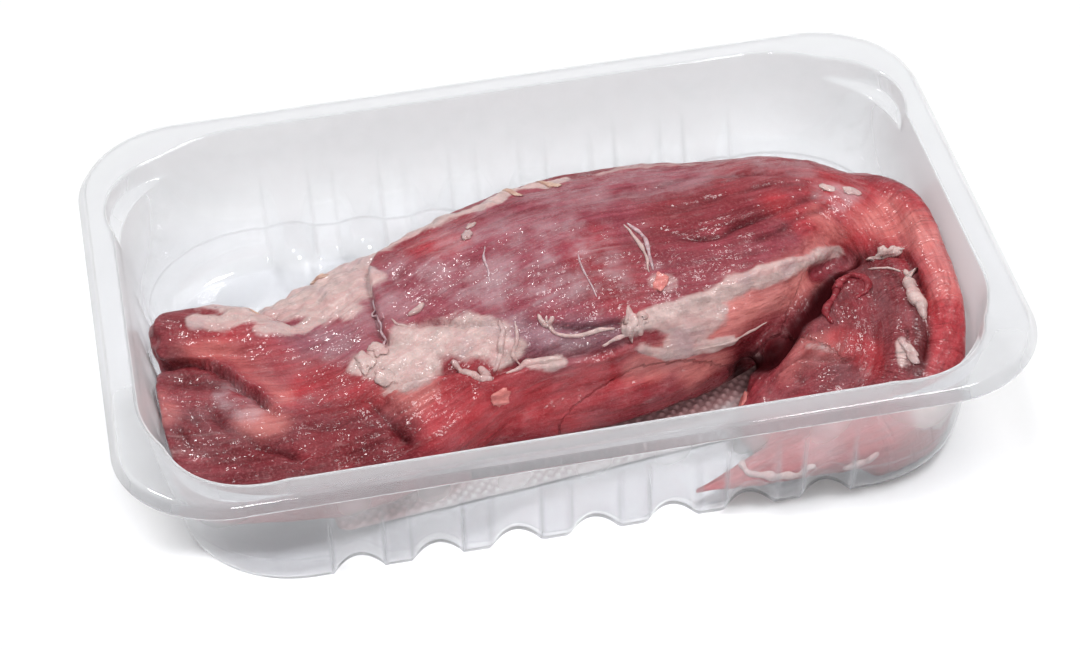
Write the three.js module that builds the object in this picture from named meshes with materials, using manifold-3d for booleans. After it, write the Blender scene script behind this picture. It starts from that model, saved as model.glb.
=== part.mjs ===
// Clear meat tray with an absorbent pad and one folded pork tenderloin. Millimetres, +Z up.
// The origin is the middle of the tray's base, +X runs along the tray's long side.
import * as THREE from 'three';
import { mergeVertices } from 'three/addons/utils/BufferGeometryUtils.js';
import Module from 'manifold-3d';

const wasm = await Module();
wasm.setup();

// Driving dimensions of the thermoformed tray, all measured on its outside.
const RIM = { length: 230, width: 160, corner: 27.4, top: 42.9 };
const MOUTH = { length: 217.6, width: 147.2, corner: 38 };
const FOLD = { length: 205.6, width: 137.6, corner: 31, cornerHeight: 11.5, middleHeight: 7 };
const BASE = { length: 198.4, width: 128, corner: 28.3 };
const HAUNCH_HEIGHT = 4.2;
const SKIRT = { drop: 2.9, flare: 1.8 };
const SHELF = { height: 36, step: 0.6, reach: 4.2, spread: 26 };
const WALL = 0.8;
const FLUTE = { pitch: 20, halfWidth: 6.5, arch: 4, depth: 2, foldRise: 3, fadeHeight: 31, scoop: 12 };
const LONG_SIDE_FLUTES = 7;
const SHORT_SIDE_FLUTES = 3;
const CORNER_HUB = { x: 70, y: 34 };
const CORNER_STEPS = 9;

// Absorbent pad, lying a little askew on the floor.
const PAD = { length: 130, width: 80, corner: 3, thickness: 1.3, x: -3, y: -2.5, turn: 6.5 };

// Gap kept between two pieces that touch.
const CLEARANCE = 0.3;

// The muscle: a thick body, then a tail that curls round the right end and back along the front.
const MUSCLE = [
  { at: [-104, -7, 14], half: [20, 10.5] },
  { at: [-88, -15, 15], half: [34, 13.5] },
  { at: [-60, -14, 15.5], half: [39, 14] },
  { at: [-28, 1, 18.5], half: [36, 17] },
  { at: [10, 11, 21], half: [39, 19.5] },
  { at: [45, 12, 21.5], half: [36, 20] },
  { at: [74, 18, 21], half: [22, 19] },
  { at: [91, 8, 18.5], half: [14.5, 17] },
  { at: [94, -12, 17.5], half: [13, 16] },
  { at: [93, -35, 16.5], half: [13, 15.5] },
  { at: [83, -52, 12], half: [11.5, 11.5] },
  { at: [58, -57, 7.5], half: [9, 6.5] },
  { at: [27, -61, 4], half: [2, 1.8] },
];

// Lobes that bulge out of the muscle and grow together with it.
const FRONT_LOBE = [
  { at: [-42, -18, 9], half: [6, 6] },
  { at: [-32, -19, 10.5], half: [12, 9.5] },
  { at: [-5, -19, 11], half: [14, 10] },
  { at: [28, -15, 11.5], half: [13, 10] },
  { at: [50, -7, 12.5], half: [12, 10] },
  { at: [66, 3, 14], half: [7, 8] },
];
const LEFT_FLAP = [
  { at: [-99, 18, 17], half: [9, 8] },
  { at: [-96, 9, 20], half: [11, 9] },
  { at: [-85, 2, 23], half: [9, 7] },
  { at: [-73, -5, 23.5], half: [8, 6] },
  { at: [-62, -16, 20.5], half: [5, 5] },
];
const INNER_LOBE = [
  { at: [87, -3, 17], half: [8, 9] },
  { at: [79, -16, 16], half: [16, 13] },
  { at: [69, -29, 13.5], half: [19, 11.5] },
  { at: [58, -39, 10], half: [16, 8.5] },
  { at: [46, -46, 6], half: [7, 4.5] },
];
const STATION_SPACING = 8;
const SECTION_POINTS = 18;
const TOP_ROUNDNESS = 2.1;
const UNDERSIDE_ROUNDNESS = 3;

const clearPlastic = new THREE.MeshStandardMaterial({
  color: 0xe6e8ee, roughness: 0.08, metalness: 0, transparent: true, opacity: 0.35,
});
const padFibre = new THREE.MeshStandardMaterial({ color: 0xe9e4e2, roughness: 0.9, metalness: 0 });
const rawMeat = new THREE.MeshStandardMaterial({ color: 0xa9494c, roughness: 0.4, metalness: 0 });

// ---- stations round the tray ----

// Offsets of flute centres along one side, symmetric about the middle.
function fluteCentres(count) {
  return Array.from({ length: count }, (_, i) => (i - (count - 1) / 2) * FLUTE.pitch);
}

// Places along one side where the tray has a point: four for each flute, and the two ends.
function sideOffsets(count, halfSpan) {
  const offsets = [-halfSpan];
  for (const centre of fluteCentres(count)) {
    for (const step of [-1, -0.45, 0.45, 1]) offsets.push(centre + step * FLUTE.halfWidth);
  }
  offsets.push(halfSpan);
  return offsets;
}

// How much of a flute stands at this offset along a side: 1 in its middle, 0 outside it.
function fluteShare(offset, count) {
  let share = 0;
  for (const centre of fluteCentres(count)) {
    const away = Math.abs(offset - centre) / FLUTE.halfWidth;
    if (away < 1) share = Math.max(share, Math.cos((away * Math.PI) / 2) ** 0.7);
  }
  return share;
}

// Every station anticlockwise from the front left: sides hold an offset, corners an angle.
function trayStations() {
  const stations = [];
  for (let quarter = 0; quarter < 4; quarter += 1) {
    const long = quarter % 2 === 0;
    const count = long ? LONG_SIDE_FLUTES : SHORT_SIDE_FLUTES;
    const halfSpan = long ? CORNER_HUB.x : CORNER_HUB.y;
    for (const offset of sideOffsets(count, halfSpan)) {
      stations.push({ quarter, offset, share: fluteShare(offset, count), bend: Math.abs(offset) / halfSpan });
    }
    for (let step = 1; step < CORNER_STEPS; step += 1) {
      const angle = ((quarter - 1) * 90 + (step * 90) / CORNER_STEPS) * THREE.MathUtils.DEG2RAD;
      stations.push({ quarter, angle, share: 0, bend: 1 });
    }
  }
  return stations;
}
const STATIONS = trayStations();

// Where a ray from a corner's hub meets a rounded rectangle.
function cornerPoint(halfX, halfY, corner, angle) {
  const away = new THREE.Vector2(Math.abs(Math.cos(angle)), Math.abs(Math.sin(angle)));
  const centre = new THREE.Vector2(halfX - corner - CORNER_HUB.x, halfY - corner - CORNER_HUB.y);
  const toTop = (halfY - CORNER_HUB.y) / away.y;
  const toSide = (halfX - CORNER_HUB.x) / away.x;
  let reach = Math.min(toTop, toSide);
  const hit = away.clone().multiplyScalar(reach);
  if (hit.x > centre.x && hit.y > centre.y) {
    const along = away.dot(centre);
    reach = along + Math.sqrt(along * along - centre.lengthSq() + corner * corner);
  }
  return reach;
}

// The crescent pockets that keep nested trays apart: one in each corner, on one half of it.
// Back corners have it beside the short side, front corners beside the long side.
function pocketShare(angle) {
  const degrees = THREE.MathUtils.euclideanModulo(angle * THREE.MathUtils.RAD2DEG, 360);
  let share = 0;
  for (const middle of [28, 152, 237, 303]) {
    const away = Math.abs(degrees - middle) / SHELF.spread;
    if (away < 1) share = Math.cos((away * Math.PI) / 2) ** 0.5;
  }
  return share;
}

// One closed ring of points round the tray.
// flute pulls the wall in at the flutes, arch lifts it there, sag lowers it mid side.
// bridged runs straight from flute to flute, as a thing pressed against the wall does.
function trayRing({ halfX, halfY, corner, z, flute = 0, arch = 0, sag = 0, pocket = 0, bridged = false }) {
  return STATIONS.map((station) => {
    const share = bridged && station.angle === undefined ? 1 : station.share;
    const height = z + arch * share - sag * (1 - station.bend ** 2);
    if (station.angle !== undefined) {
      const reach = cornerPoint(halfX, halfY, corner, station.angle) + pocket * pocketShare(station.angle);
      const hubX = Math.sign(Math.cos(station.angle)) * CORNER_HUB.x;
      const hubY = Math.sign(Math.sin(station.angle)) * CORNER_HUB.y;
      const x = hubX + reach * Math.cos(station.angle);
      const y = hubY + reach * Math.sin(station.angle);
      return new THREE.Vector3(x, y, height);
    }
    const pull = flute * share;
    if (station.quarter === 0) return new THREE.Vector3(station.offset, -halfY + pull, height);
    if (station.quarter === 1) return new THREE.Vector3(halfX - pull, station.offset, height);
    if (station.quarter === 2) return new THREE.Vector3(-station.offset, halfY - pull, height);
    return new THREE.Vector3(-halfX + pull, -station.offset, height);
  });
}

// ---- levels of the tray, from the middle of the base up the wall ----

function wallLevel(z) {
  const t = (z - FOLD.cornerHeight) / (RIM.top - FOLD.cornerHeight);
  return {
    halfX: THREE.MathUtils.lerp(FOLD.length, MOUTH.length, t) / 2,
    halfY: THREE.MathUtils.lerp(FOLD.width, MOUTH.width, t) / 2,
    corner: THREE.MathUtils.lerp(FOLD.corner, MOUTH.corner, t),
    z,
  };
}

// Levels of one skin of the wall; inset is how far it lies inside the tray's outer surface.
function wallLevels(inset) {
  const shrink = (level) => ({
    ...level, halfX: level.halfX - inset, halfY: level.halfY - inset, corner: level.corner - inset,
  });
  const floor = { halfX: BASE.length / 2, halfY: BASE.width / 2, corner: BASE.corner, z: inset };
  const scoopStart = {
    halfX: floor.halfX - FLUTE.scoop, halfY: floor.halfY - FLUTE.scoop,
    corner: BASE.corner - FLUTE.scoop, z: inset,
  };
  const haunch = {
    halfX: (BASE.length + 2 * FOLD.length) / 6, halfY: (BASE.width + 2 * FOLD.width) / 6,
    corner: (BASE.corner + FOLD.corner) / 2, z: HAUNCH_HEIGHT,
    flute: FLUTE.depth, arch: (FLUTE.arch + FLUTE.foldRise) / 2,
  };
  const fold = {
    halfX: FOLD.length / 2, halfY: FOLD.width / 2, corner: FOLD.corner, z: FOLD.cornerHeight,
    flute: FLUTE.depth, arch: FLUTE.foldRise, sag: FOLD.cornerHeight - FOLD.middleHeight,
  };
  return [
    scoopStart,
    { ...shrink(floor), flute: FLUTE.depth / 2, arch: FLUTE.arch },
    shrink(haunch),
    shrink(fold),
    shrink({ ...wallLevel(21), flute: FLUTE.depth * 0.55 }),
    shrink(wallLevel(FLUTE.fadeHeight)),
    shrink(wallLevel(SHELF.height + inset)),
    shrink({ ...wallLevel(SHELF.height + SHELF.step + inset), pocket: SHELF.reach }),
  ];
}

// Levels of the flange and its turned-down skirt, from under the flange to the mouth.
function rimLevels() {
  const outer = { halfX: RIM.length / 2, halfY: RIM.width / 2, corner: RIM.corner };
  const grown = (by, z) => ({
    halfX: outer.halfX + by, halfY: outer.halfY + by, corner: outer.corner + by, z,
  });
  const mouth = { ...wallLevel(RIM.top - WALL), pocket: SHELF.reach * 0.8 };
  const lip = { ...wallLevel(RIM.top), pocket: SHELF.reach * 0.8 };
  const inside = { ...lip, halfX: lip.halfX - WALL, halfY: lip.halfY - WALL, corner: lip.corner - WALL };
  return [
    mouth,
    grown(-WALL, RIM.top - WALL),
    grown(SKIRT.flare - WALL, RIM.top - SKIRT.drop),
    grown(SKIRT.flare, RIM.top - SKIRT.drop),
    grown(0.25, RIM.top - 0.6),
    grown(-0.4, RIM.top),
    lip,
    { ...inside, z: RIM.top - 0.7 },
  ];
}

// ---- closed meshes from rings ----

// Joins rings of equal length into one closed surface, with a fan over each end.
function loft(rings) {
  const size = rings[0].length;
  const points = rings.flat();
  const index = [];
  for (let ring = 0; ring + 1 < rings.length; ring += 1) {
    for (let i = 0; i < size; i += 1) {
      const a = ring * size + i;
      const b = ring * size + ((i + 1) % size);
      index.push(a, b, b + size, a, b + size, a + size);
    }
  }
  for (const [ring, turned] of [[0, true], [rings.length - 1, false]]) {
    const centre = rings[ring].reduce((sum, p) => sum.add(p), new THREE.Vector3()).divideScalar(size);
    points.push(centre);
    for (let i = 0; i < size; i += 1) {
      const a = ring * size + i;
      const b = ring * size + ((i + 1) % size);
      if (turned) index.push(points.length - 1, b, a);
      else index.push(points.length - 1, a, b);
    }
  }
  return new THREE.BufferGeometry().setFromPoints(points).setIndex(index);
}

// A closed geometry as a manifold, for joining and cutting.
function asManifold(geometry) {
  const bare = geometry.clone();
  bare.deleteAttribute('normal');
  bare.deleteAttribute('uv');
  const merged = mergeVertices(bare, 1e-4);
  const vertProperties = new Float32Array(merged.attributes.position.array);
  const triVerts = new Uint32Array(merged.index.array);
  return new wasm.Manifold(new wasm.Mesh({ numProp: 3, vertProperties, triVerts }));
}

function asGeometry(solid) {
  const mesh = solid.getMesh();
  const geometry = new THREE.BufferGeometry();
  geometry.setAttribute('position', new THREE.BufferAttribute(new Float32Array(mesh.vertProperties), 3));
  geometry.setIndex(Array.from(mesh.triVerts));
  geometry.computeVertexNormals();
  return geometry;
}

function namedMesh(name, geometry, material) {
  const mesh = new THREE.Mesh(geometry, material);
  mesh.name = name;
  return mesh;
}

// ---- the tray ----

function trayGeometry() {
  const outside = wallLevels(0).map((level) => trayRing(level));
  const rim = rimLevels().map((level) => trayRing(level));
  const inside = wallLevels(WALL).map((level) => trayRing(level)).reverse();
  return loft([...outside, ...rim, ...inside]);
}

// The room inside the tray, kept clear of its walls and floor.
function trayRoom() {
  const levels = wallLevels(WALL + CLEARANCE).slice(0, -2);
  const top = { ...levels[levels.length - 1], z: RIM.top + 10 };
  return asManifold(loft([...levels, top].map((level) => trayRing({ ...level, bridged: true }))));
}

// ---- the pad ----

// A rounded slab on the tray's floor; grow widens it on every side and raises its top.
function padSlab(grow, bottom) {
  const halfX = PAD.length / 2 + grow;
  const halfY = PAD.width / 2 + grow;
  const shape = new THREE.Shape();
  shape.moveTo(-halfX + PAD.corner, -halfY);
  shape.lineTo(halfX - PAD.corner, -halfY);
  shape.absarc(halfX - PAD.corner, -halfY + PAD.corner, PAD.corner, -Math.PI / 2, 0, false);
  shape.absarc(halfX - PAD.corner, halfY - PAD.corner, PAD.corner, 0, Math.PI / 2, false);
  shape.absarc(-halfX + PAD.corner, halfY - PAD.corner, PAD.corner, Math.PI / 2, Math.PI, false);
  shape.absarc(-halfX + PAD.corner, -halfY + PAD.corner, PAD.corner, Math.PI, Math.PI * 1.5, false);
  const top = WALL + CLEARANCE + PAD.thickness + grow;
  const depth = top - bottom;
  const geometry = new THREE.ExtrudeGeometry(shape, { depth, bevelEnabled: false, curveSegments: 3 });
  geometry.translate(0, 0, bottom);
  return geometry;
}

function placePad(object) {
  object.position.set(PAD.x, PAD.y, 0);
  object.rotation.z = PAD.turn * THREE.MathUtils.DEG2RAD;
  return object;
}

// ---- the meat ----

// One section across the muscle: round on top, flatter where it lies on the pad.
function meatSection(centre, tangent, halfWidth, halfHeight) {
  const across = new THREE.Vector3(tangent.y, -tangent.x, 0).normalize();
  const ring = [];
  for (let i = 0; i < SECTION_POINTS; i += 1) {
    const angle = (i * 2 * Math.PI) / SECTION_POINTS;
    const power = 2 / (Math.sin(angle) < 0 ? UNDERSIDE_ROUNDNESS : TOP_ROUNDNESS);
    const side = -Math.sign(Math.cos(angle)) * Math.abs(Math.cos(angle)) ** power * halfWidth;
    const rise = Math.sign(Math.sin(angle)) * Math.abs(Math.sin(angle)) ** power * halfHeight;
    const point = centre.clone().addScaledVector(across, side);
    point.z += rise;
    ring.push(point);
  }
  return ring;
}

// A lobe of muscle swept along its route, its half width and half height eased between posts.
function meatLobe(posts) {
  const places = posts.map((post) => new THREE.Vector3(...post.at));
  const route = new THREE.CatmullRomCurve3(places, false, 'centripetal');
  const sizes = new THREE.CatmullRomCurve3(posts.map((post) => new THREE.Vector3(...post.half, 0)));
  const count = Math.max(6, Math.round(route.getLength() / STATION_SPACING));
  const rings = [];
  for (let i = 0; i <= count; i += 1) {
    const t = i / count;
    const size = sizes.getPoint(t);
    rings.push(meatSection(route.getPoint(t), route.getTangent(t), size.x, size.y));
  }
  return asManifold(loft(rings));
}

function meatGeometry() {
  let meat = meatLobe(MUSCLE);
  for (const posts of [FRONT_LOBE, LEFT_FLAP, INNER_LOBE]) meat = meat.add(meatLobe(posts));
  const padRoom = placePad(new THREE.Object3D());
  padRoom.updateMatrix();
  const padSpace = padSlab(CLEARANCE, 0).applyMatrix4(padRoom.matrix);
  return asGeometry(meat.intersect(trayRoom()).subtract(asManifold(padSpace)));
}

// ---- the pack ----

const pack = new THREE.Group();
pack.add(namedMesh('tray', trayGeometry(), clearPlastic));
pack.add(placePad(namedMesh('absorbent_pad', padSlab(0, WALL + CLEARANCE), padFibre)));
pack.add(namedMesh('tenderloin', meatGeometry(), rawMeat));

export default pack;
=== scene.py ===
import math

import bpy
import numpy as np
from bpy.props import FloatProperty, FloatVectorProperty, IntProperty, PointerProperty
from mathutils import Matrix, Vector
from mathutils.bvhtree import BVHTree


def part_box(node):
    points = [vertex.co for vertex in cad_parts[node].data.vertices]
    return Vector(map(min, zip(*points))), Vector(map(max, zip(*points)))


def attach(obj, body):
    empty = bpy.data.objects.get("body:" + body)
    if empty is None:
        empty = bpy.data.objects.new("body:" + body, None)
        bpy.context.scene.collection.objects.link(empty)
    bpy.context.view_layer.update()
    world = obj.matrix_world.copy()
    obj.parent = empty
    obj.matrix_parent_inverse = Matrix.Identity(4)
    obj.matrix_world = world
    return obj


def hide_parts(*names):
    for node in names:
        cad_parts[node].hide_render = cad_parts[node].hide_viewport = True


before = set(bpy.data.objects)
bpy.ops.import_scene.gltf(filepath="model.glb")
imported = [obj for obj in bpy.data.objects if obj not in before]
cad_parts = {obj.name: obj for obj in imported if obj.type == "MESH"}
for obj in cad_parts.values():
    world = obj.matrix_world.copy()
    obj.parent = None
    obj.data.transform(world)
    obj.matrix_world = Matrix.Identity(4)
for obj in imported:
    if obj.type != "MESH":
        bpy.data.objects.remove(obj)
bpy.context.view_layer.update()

bl_info = {
    "name": "Meat tray pack",
    "version": (1, 0, 0),
    "blender": (4, 5, 0),
    "location": "3D View > Sidebar > Meat tray",
    "description": "Clear food tray with an absorbent pad and a folded raw tenderloin",
    "category": "Object",
}

MM = 0.001
TRAY_LOW, TRAY_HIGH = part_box("tray")
PAD_LOW, PAD_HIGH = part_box("absorbent_pad")
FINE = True


# ---------------------------------------------------------------- sizes and colours


def length(name, description, default):
    """A size in metres that a user can change."""
    return FloatProperty(name=name, description=description, default=default, unit="LENGTH", precision=4)


def colour(name, description, default):
    """A scene linear colour that a user can change."""
    return FloatVectorProperty(
        name=name, description=description, default=default, subtype="COLOR", size=3, min=0.0, max=1.0
    )


class TraySizes(bpy.types.PropertyGroup):
    """Outside sizes of the thermoformed tray."""

    skirt_flare: length("Skirt flare", "How far the turned-down skirt leans out", 1.8 * MM)
    skirt_drop: length("Skirt drop", "How far the skirt hangs below the rim", 2.9 * MM)
    rim_corner: length("Rim corner", "Corner radius of the rim", 27.4 * MM)
    mouth_length: length("Mouth length", "Opening along the long side", 217.6 * MM)
    mouth_width: length("Mouth width", "Opening along the short side", 147.2 * MM)
    mouth_corner: length("Mouth corner", "Corner radius of the opening", 38 * MM)
    fold_length: length("Fold length", "Length at the crease where the wall turns in to the base", 205.6 * MM)
    fold_width: length("Fold width", "Width at that crease", 137.6 * MM)
    fold_corner: length("Fold corner", "Corner radius of that crease", 31 * MM)
    fold_height: length("Fold height", "Height of that crease at the corners", 11.5 * MM)
    fold_sag: length("Fold sag", "How much lower the crease runs in the middle of a side", 4.5 * MM)
    haunch_height: length("Haunch height", "Height of the rounded turn between base and crease", 4.2 * MM)
    base_length: length("Base length", "Length of the flat base", 198.4 * MM)
    base_width: length("Base width", "Width of the flat base", 128 * MM)
    base_corner: length("Base corner", "Corner radius of the base", 28.3 * MM)
    sheet: length("Sheet", "Thickness of the plastic", 0.5 * MM)
    shelf_height: length("Shelf height", "Height of the crescent shelves in the corners", 36 * MM)
    shelf_reach: length("Shelf reach", "Depth of those shelves", 4.2 * MM)
    flute_pitch: length("Flute pitch", "Distance from flute to flute", 20 * MM)
    flute_half_width: length("Flute half width", "Half the width of a flute", 6.5 * MM)
    flute_arch: length("Flute arch", "How far a flute lifts the edge of the base", 4 * MM)
    flute_depth: length("Flute depth", "How far a flute presses into the wall", 2 * MM)
    flute_fade: length("Flute fade", "Height at which the flutes run out", 31 * MM)
    flute_scoop: length("Flute scoop", "How far a flute reaches in under the base", 12 * MM)


class PadSizes(bpy.types.PropertyGroup):
    """The absorbent pad."""

    length: length("Length", "Long side of the pad", 130 * MM)
    width: length("Width", "Short side of the pad", 80 * MM)
    turn: FloatProperty(
        name="Turn", description="How far the pad lies askew", default=math.radians(6.5), subtype="ANGLE"
    )
    boss_pitch: length("Boss pitch", "Distance between embossed dots", 2.3 * MM)
    boss_height: length("Boss height", "Relief of the embossed dots", 0.6 * MM)


class MeatSizes(bpy.types.PropertyGroup):
    """How finely the muscle is made."""

    voxel: length("Voxel", "Grid that the joined lobes are remeshed on", 0.8 * MM)
    smoothing: IntProperty(name="Smoothing", description="Passes that soften the joins", default=5, min=0)


class PackColours(bpy.types.PropertyGroup):
    """Base colours of the finishes, in scene linear."""

    plastic: colour("Plastic", "Tint of the clear sheet", (0.765, 0.77, 0.785))
    pad: colour("Pad", "Clean pad", (0.80, 0.78, 0.78))
    pad_stain: colour("Pad stain", "Meat juice soaked into the pad", (0.52, 0.30, 0.30))
    muscle: colour("Muscle", "Cut lean meat", (0.285, 0.032, 0.044))
    bright: colour("Bright", "Fresh red lean meat", (0.47, 0.039, 0.049))
    deep: colour("Deep", "Darker lean meat", (0.165, 0.013, 0.020))
    mauve: colour("Mauve", "Lean meat under its skin", (0.30, 0.060, 0.088))
    plum: colour("Plum", "Lean meat seen through a grey film", (0.24, 0.09, 0.12))
    salmon: colour("Salmon", "Thin, light lean meat", (0.74, 0.26, 0.235))
    # Shadow is painted shade: the tint of deep creases, of the undersides of folds and of the gap between the
    # muscles.
    shadow: colour("Shadow", "Painted shade in deep creases and gaps", (0.03, 0.004, 0.005))
    fat: colour("Fat", "Fat", (0.64, 0.465, 0.44))
    cream: colour("Cream", "Yellowish fat", (0.66, 0.46, 0.36))
    silverskin: colour("Silverskin", "Thin white membrane", (0.62, 0.46, 0.49))


class StageSettings(bpy.types.PropertyGroup):
    """Camera and studio."""

    azimuth: FloatProperty(
        name="Azimuth", description="Camera turn about Z", default=math.radians(-8.42), subtype="ANGLE"
    )
    elevation: FloatProperty(
        name="Elevation", description="Camera height angle", default=math.radians(39.21), subtype="ANGLE"
    )
    roll: FloatProperty(name="Roll", description="Camera roll", default=math.radians(-3.52), subtype="ANGLE")
    distance: length("Distance", "Camera distance from its target", 874.3 * MM)
    target_x: length("Target X", "Aim point along the tray", 2.1 * MM)
    target_y: length("Target Y", "Aim point across the tray", 21.3 * MM)
    lens: FloatProperty(name="Lens", description="Focal length in millimetres", default=106.3)
    floor_colour: colour("Floor", "Colour of the floor", (0.92, 0.92, 0.92))


class PackSettings(bpy.types.PropertyGroup):
    """Everything a user can change."""

    tray: PointerProperty(type=TraySizes)
    pad: PointerProperty(type=PadSizes)
    meat: PointerProperty(type=MeatSizes)
    colours: PointerProperty(type=PackColours)
    stage: PointerProperty(type=StageSettings)


def settings():
    """The scene's values of everything a user can change."""
    return bpy.context.scene.meat_tray_pack


# ---------------------------------------------------------------- meshes


def object_from(name, points, faces, material):
    """A smooth mesh object from points in millimetres."""
    mesh = bpy.data.meshes.new(name)
    mesh.from_pydata((np.asarray(points, dtype=float) * MM).tolist(), [], faces)
    mesh.update()
    mesh.shade_smooth()
    mesh.materials.append(material)
    made = bpy.data.objects.new(name, mesh)
    bpy.context.scene.collection.objects.link(made)
    return made


def finish_piece(piece, slot, *nodes):
    """Puts a piece on the pack's only body and hides the CAD nodes it stands for. The finish slot is not
    used.
    """
    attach(piece, "root")
    if nodes:
        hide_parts(*nodes)


def ring_faces(rings, size):
    """Quads between rings of equal size, with a fan at each end round the two last points."""
    steps = np.arange(size)
    nexts = (steps + 1) % size
    faces = []
    for ring in range(rings - 1):
        low, high = ring * size, (ring + 1) * size
        faces.append(np.stack((low + steps, low + nexts, high + nexts, high + steps), axis=1))
    quads = np.concatenate(faces).tolist()
    first, last, top = rings * size, rings * size + 1, (rings - 1) * size
    quads += [[first, int(b), int(a)] for a, b in zip(steps, nexts)]
    quads += [[last, int(top + a), int(top + b)] for a, b in zip(steps, nexts)]
    return quads


def store_share(mesh, name, values):
    """Keeps one number from 0 to 1 on every point."""
    attribute = mesh.attributes.new(name, "FLOAT", "POINT")
    attribute.data.foreach_set("value", np.asarray(values, dtype=np.float32))


def search_tree(mesh):
    """A search tree over a mesh's faces, in metres."""
    points = [vertex.co.copy() for vertex in mesh.vertices]
    return BVHTree.FromPolygons(points, [polygon.vertices[:] for polygon in mesh.polygons])


def loft_arrays(rings):
    """Points and faces of one closed surface through rings."""
    rings = np.asarray(rings, dtype=float)
    count, size = rings.shape[:2]
    ends = np.stack((rings[0].mean(axis=0), rings[-1].mean(axis=0)))
    points = np.concatenate((rings.reshape(-1, 3), ends))
    return points, ring_faces(count, size)


def smooth_step(low, high, value):
    """0 at low, 1 at high, level at both ends."""
    t = np.clip((value - low) / (high - low), 0.0, 1.0)
    return t * t * (3.0 - 2.0 * t)


def catmull(values, t):
    """Catmull-Rom through rows of values at t from 0 to 1."""
    values = np.asarray(values, dtype=float)
    last = len(values) - 1
    padded = np.concatenate((2 * values[:1] - values[1:2], values, 2 * values[-1:] - values[-2:-1]))
    place = np.clip(np.asarray(t, dtype=float) * last, 0.0, last - 1e-9)
    index = place.astype(int)
    f = (place - index)[:, None]
    a, b, c, d = (padded[index + step] for step in range(4))
    return 0.5 * (2 * b + (c - a) * f + (2 * a - 5 * b + 4 * c - d) * f**2 + (3 * b - a - 3 * c + d) * f**3)


# ---------------------------------------------------------------- noise on points


def lattice(cells, seed):
    """A repeatable random number from 0 to 1 for each lattice cell."""
    x, y, z = (cells[:, axis].astype(np.int64) for axis in range(3))
    mixed = (x * 374761393 + y * 668265263 + z * 2147483647 + seed * 1274126177) & 0xFFFFFFFF
    mixed = ((mixed ^ (mixed >> 13)) * 1103515245) & 0xFFFFFFFF
    mixed = ((mixed ^ (mixed >> 16)) * 668265263) & 0xFFFFFFFF
    return ((mixed ^ (mixed >> 15)) & 0xFFFF) / 65535.0


def noise(points, size, seed):
    """Smooth noise from -1 to 1 with features about size across."""
    scaled = np.asarray(points, dtype=float) / size
    cell = np.floor(scaled).astype(np.int64)
    f = scaled - cell
    f = f * f * f * (f * (f * 6 - 15) + 10)
    total = np.zeros(len(scaled))
    for corner in range(8):
        offset = np.array((corner & 1, corner >> 1 & 1, corner >> 2 & 1))
        weight = np.prod(np.where(offset, f, 1 - f), axis=1)
        total += weight * lattice(cell + offset, seed)
    return total * 2 - 1


def fractal(points, size, seed, octaves=4):
    """Noise with finer and finer detail on top."""
    total = np.zeros(len(points))
    share = 1.0
    for octave in range(octaves):
        total += share * noise(points, size / 2**octave, seed + octave * 17)
        share *= 0.5
    return total / 1.9


# ---------------------------------------------------------------- materials


class Nodes:
    """Short calls for building a node tree."""

    def __init__(self, name):
        self.material = bpy.data.materials.new(name)
        self.material.use_nodes = True
        self.tree = self.material.node_tree
        self.tree.nodes.clear()
        self.output = self.tree.nodes.new("ShaderNodeOutputMaterial")

    def add(self, kind, inputs=None, **options):
        node = self.tree.nodes.new(kind)
        for key, value in options.items():
            setattr(node, key, value)
        for key, value in (inputs or {}).items():
            if isinstance(value, bpy.types.NodeSocket):
                self.tree.links.new(value, node.inputs[key])
            else:
                node.inputs[key].default_value = value
        return node

    def attribute(self, name, output):
        return self.add("ShaderNodeAttribute", attribute_name=name).outputs[output]

    def math(self, operation, a, b, clamp=False):
        return self.add("ShaderNodeMath", {0: a, 1: b}, operation=operation, use_clamp=clamp).outputs[0]

    def mix(self, share, a, b, blend="MIX"):
        node = self.add("ShaderNodeMix", data_type="RGBA", blend_type=blend)
        for key, value in ((0, share), (6, a), (7, b)):
            if isinstance(value, bpy.types.NodeSocket):
                self.tree.links.new(value, node.inputs[key])
            else:
                node.inputs[key].default_value = value if key == 0 else rgba(value)
        return node.outputs[2]

    def ramp(self, value, low, high, to_low=0.0, to_high=1.0):
        inputs = {0: value, 1: low, 2: high, 3: to_low, 4: to_high}
        return self.add("ShaderNodeMapRange", inputs, interpolation_type="SMOOTHSTEP").outputs[0]

    def noise(self, vector, scale, detail=3.0, rough=0.55, distortion=0.0):
        inputs = {"Vector": vector, "Scale": scale, "Detail": detail}
        inputs.update({"Roughness": rough, "Distortion": distortion})
        return self.add("ShaderNodeTexNoise", inputs).outputs["Fac"]

    def stretched(self, vector, scale):
        return self.add("ShaderNodeMapping", {"Vector": vector, "Scale": scale}).outputs[0]

    def bump(self, height, distance, strength=1.0, normal=None):
        inputs = {"Height": height, "Distance": distance, "Strength": strength}
        if normal is not None:
            inputs["Normal"] = normal
        return self.add("ShaderNodeBump", inputs).outputs[0]

    def finish(self, shader):
        self.tree.links.new(shader, self.output.inputs[0])
        return self.material


def rgba(value):
    return (*value[:3], 1.0)


def frost_share(n, height):
    """Where the sheet looks milky: at a slant, near the flange and along pressed lines, which also turn grey
    as painted shade of the bends.
    """
    slant = n.add("ShaderNodeLayerWeight", {"Blend": 0.35}).outputs["Facing"]
    crease = n.attribute("crease", "Fac")
    higher = n.ramp(height, 5 * MM, 42 * MM, 0.25, 1.75)
    share = n.math("MULTIPLY", n.ramp(slant, 0.15, 0.5, 0.06, 0.34), higher)
    return n.math("ADD", share, n.math("MULTIPLY", crease, 0.24)), crease


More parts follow.
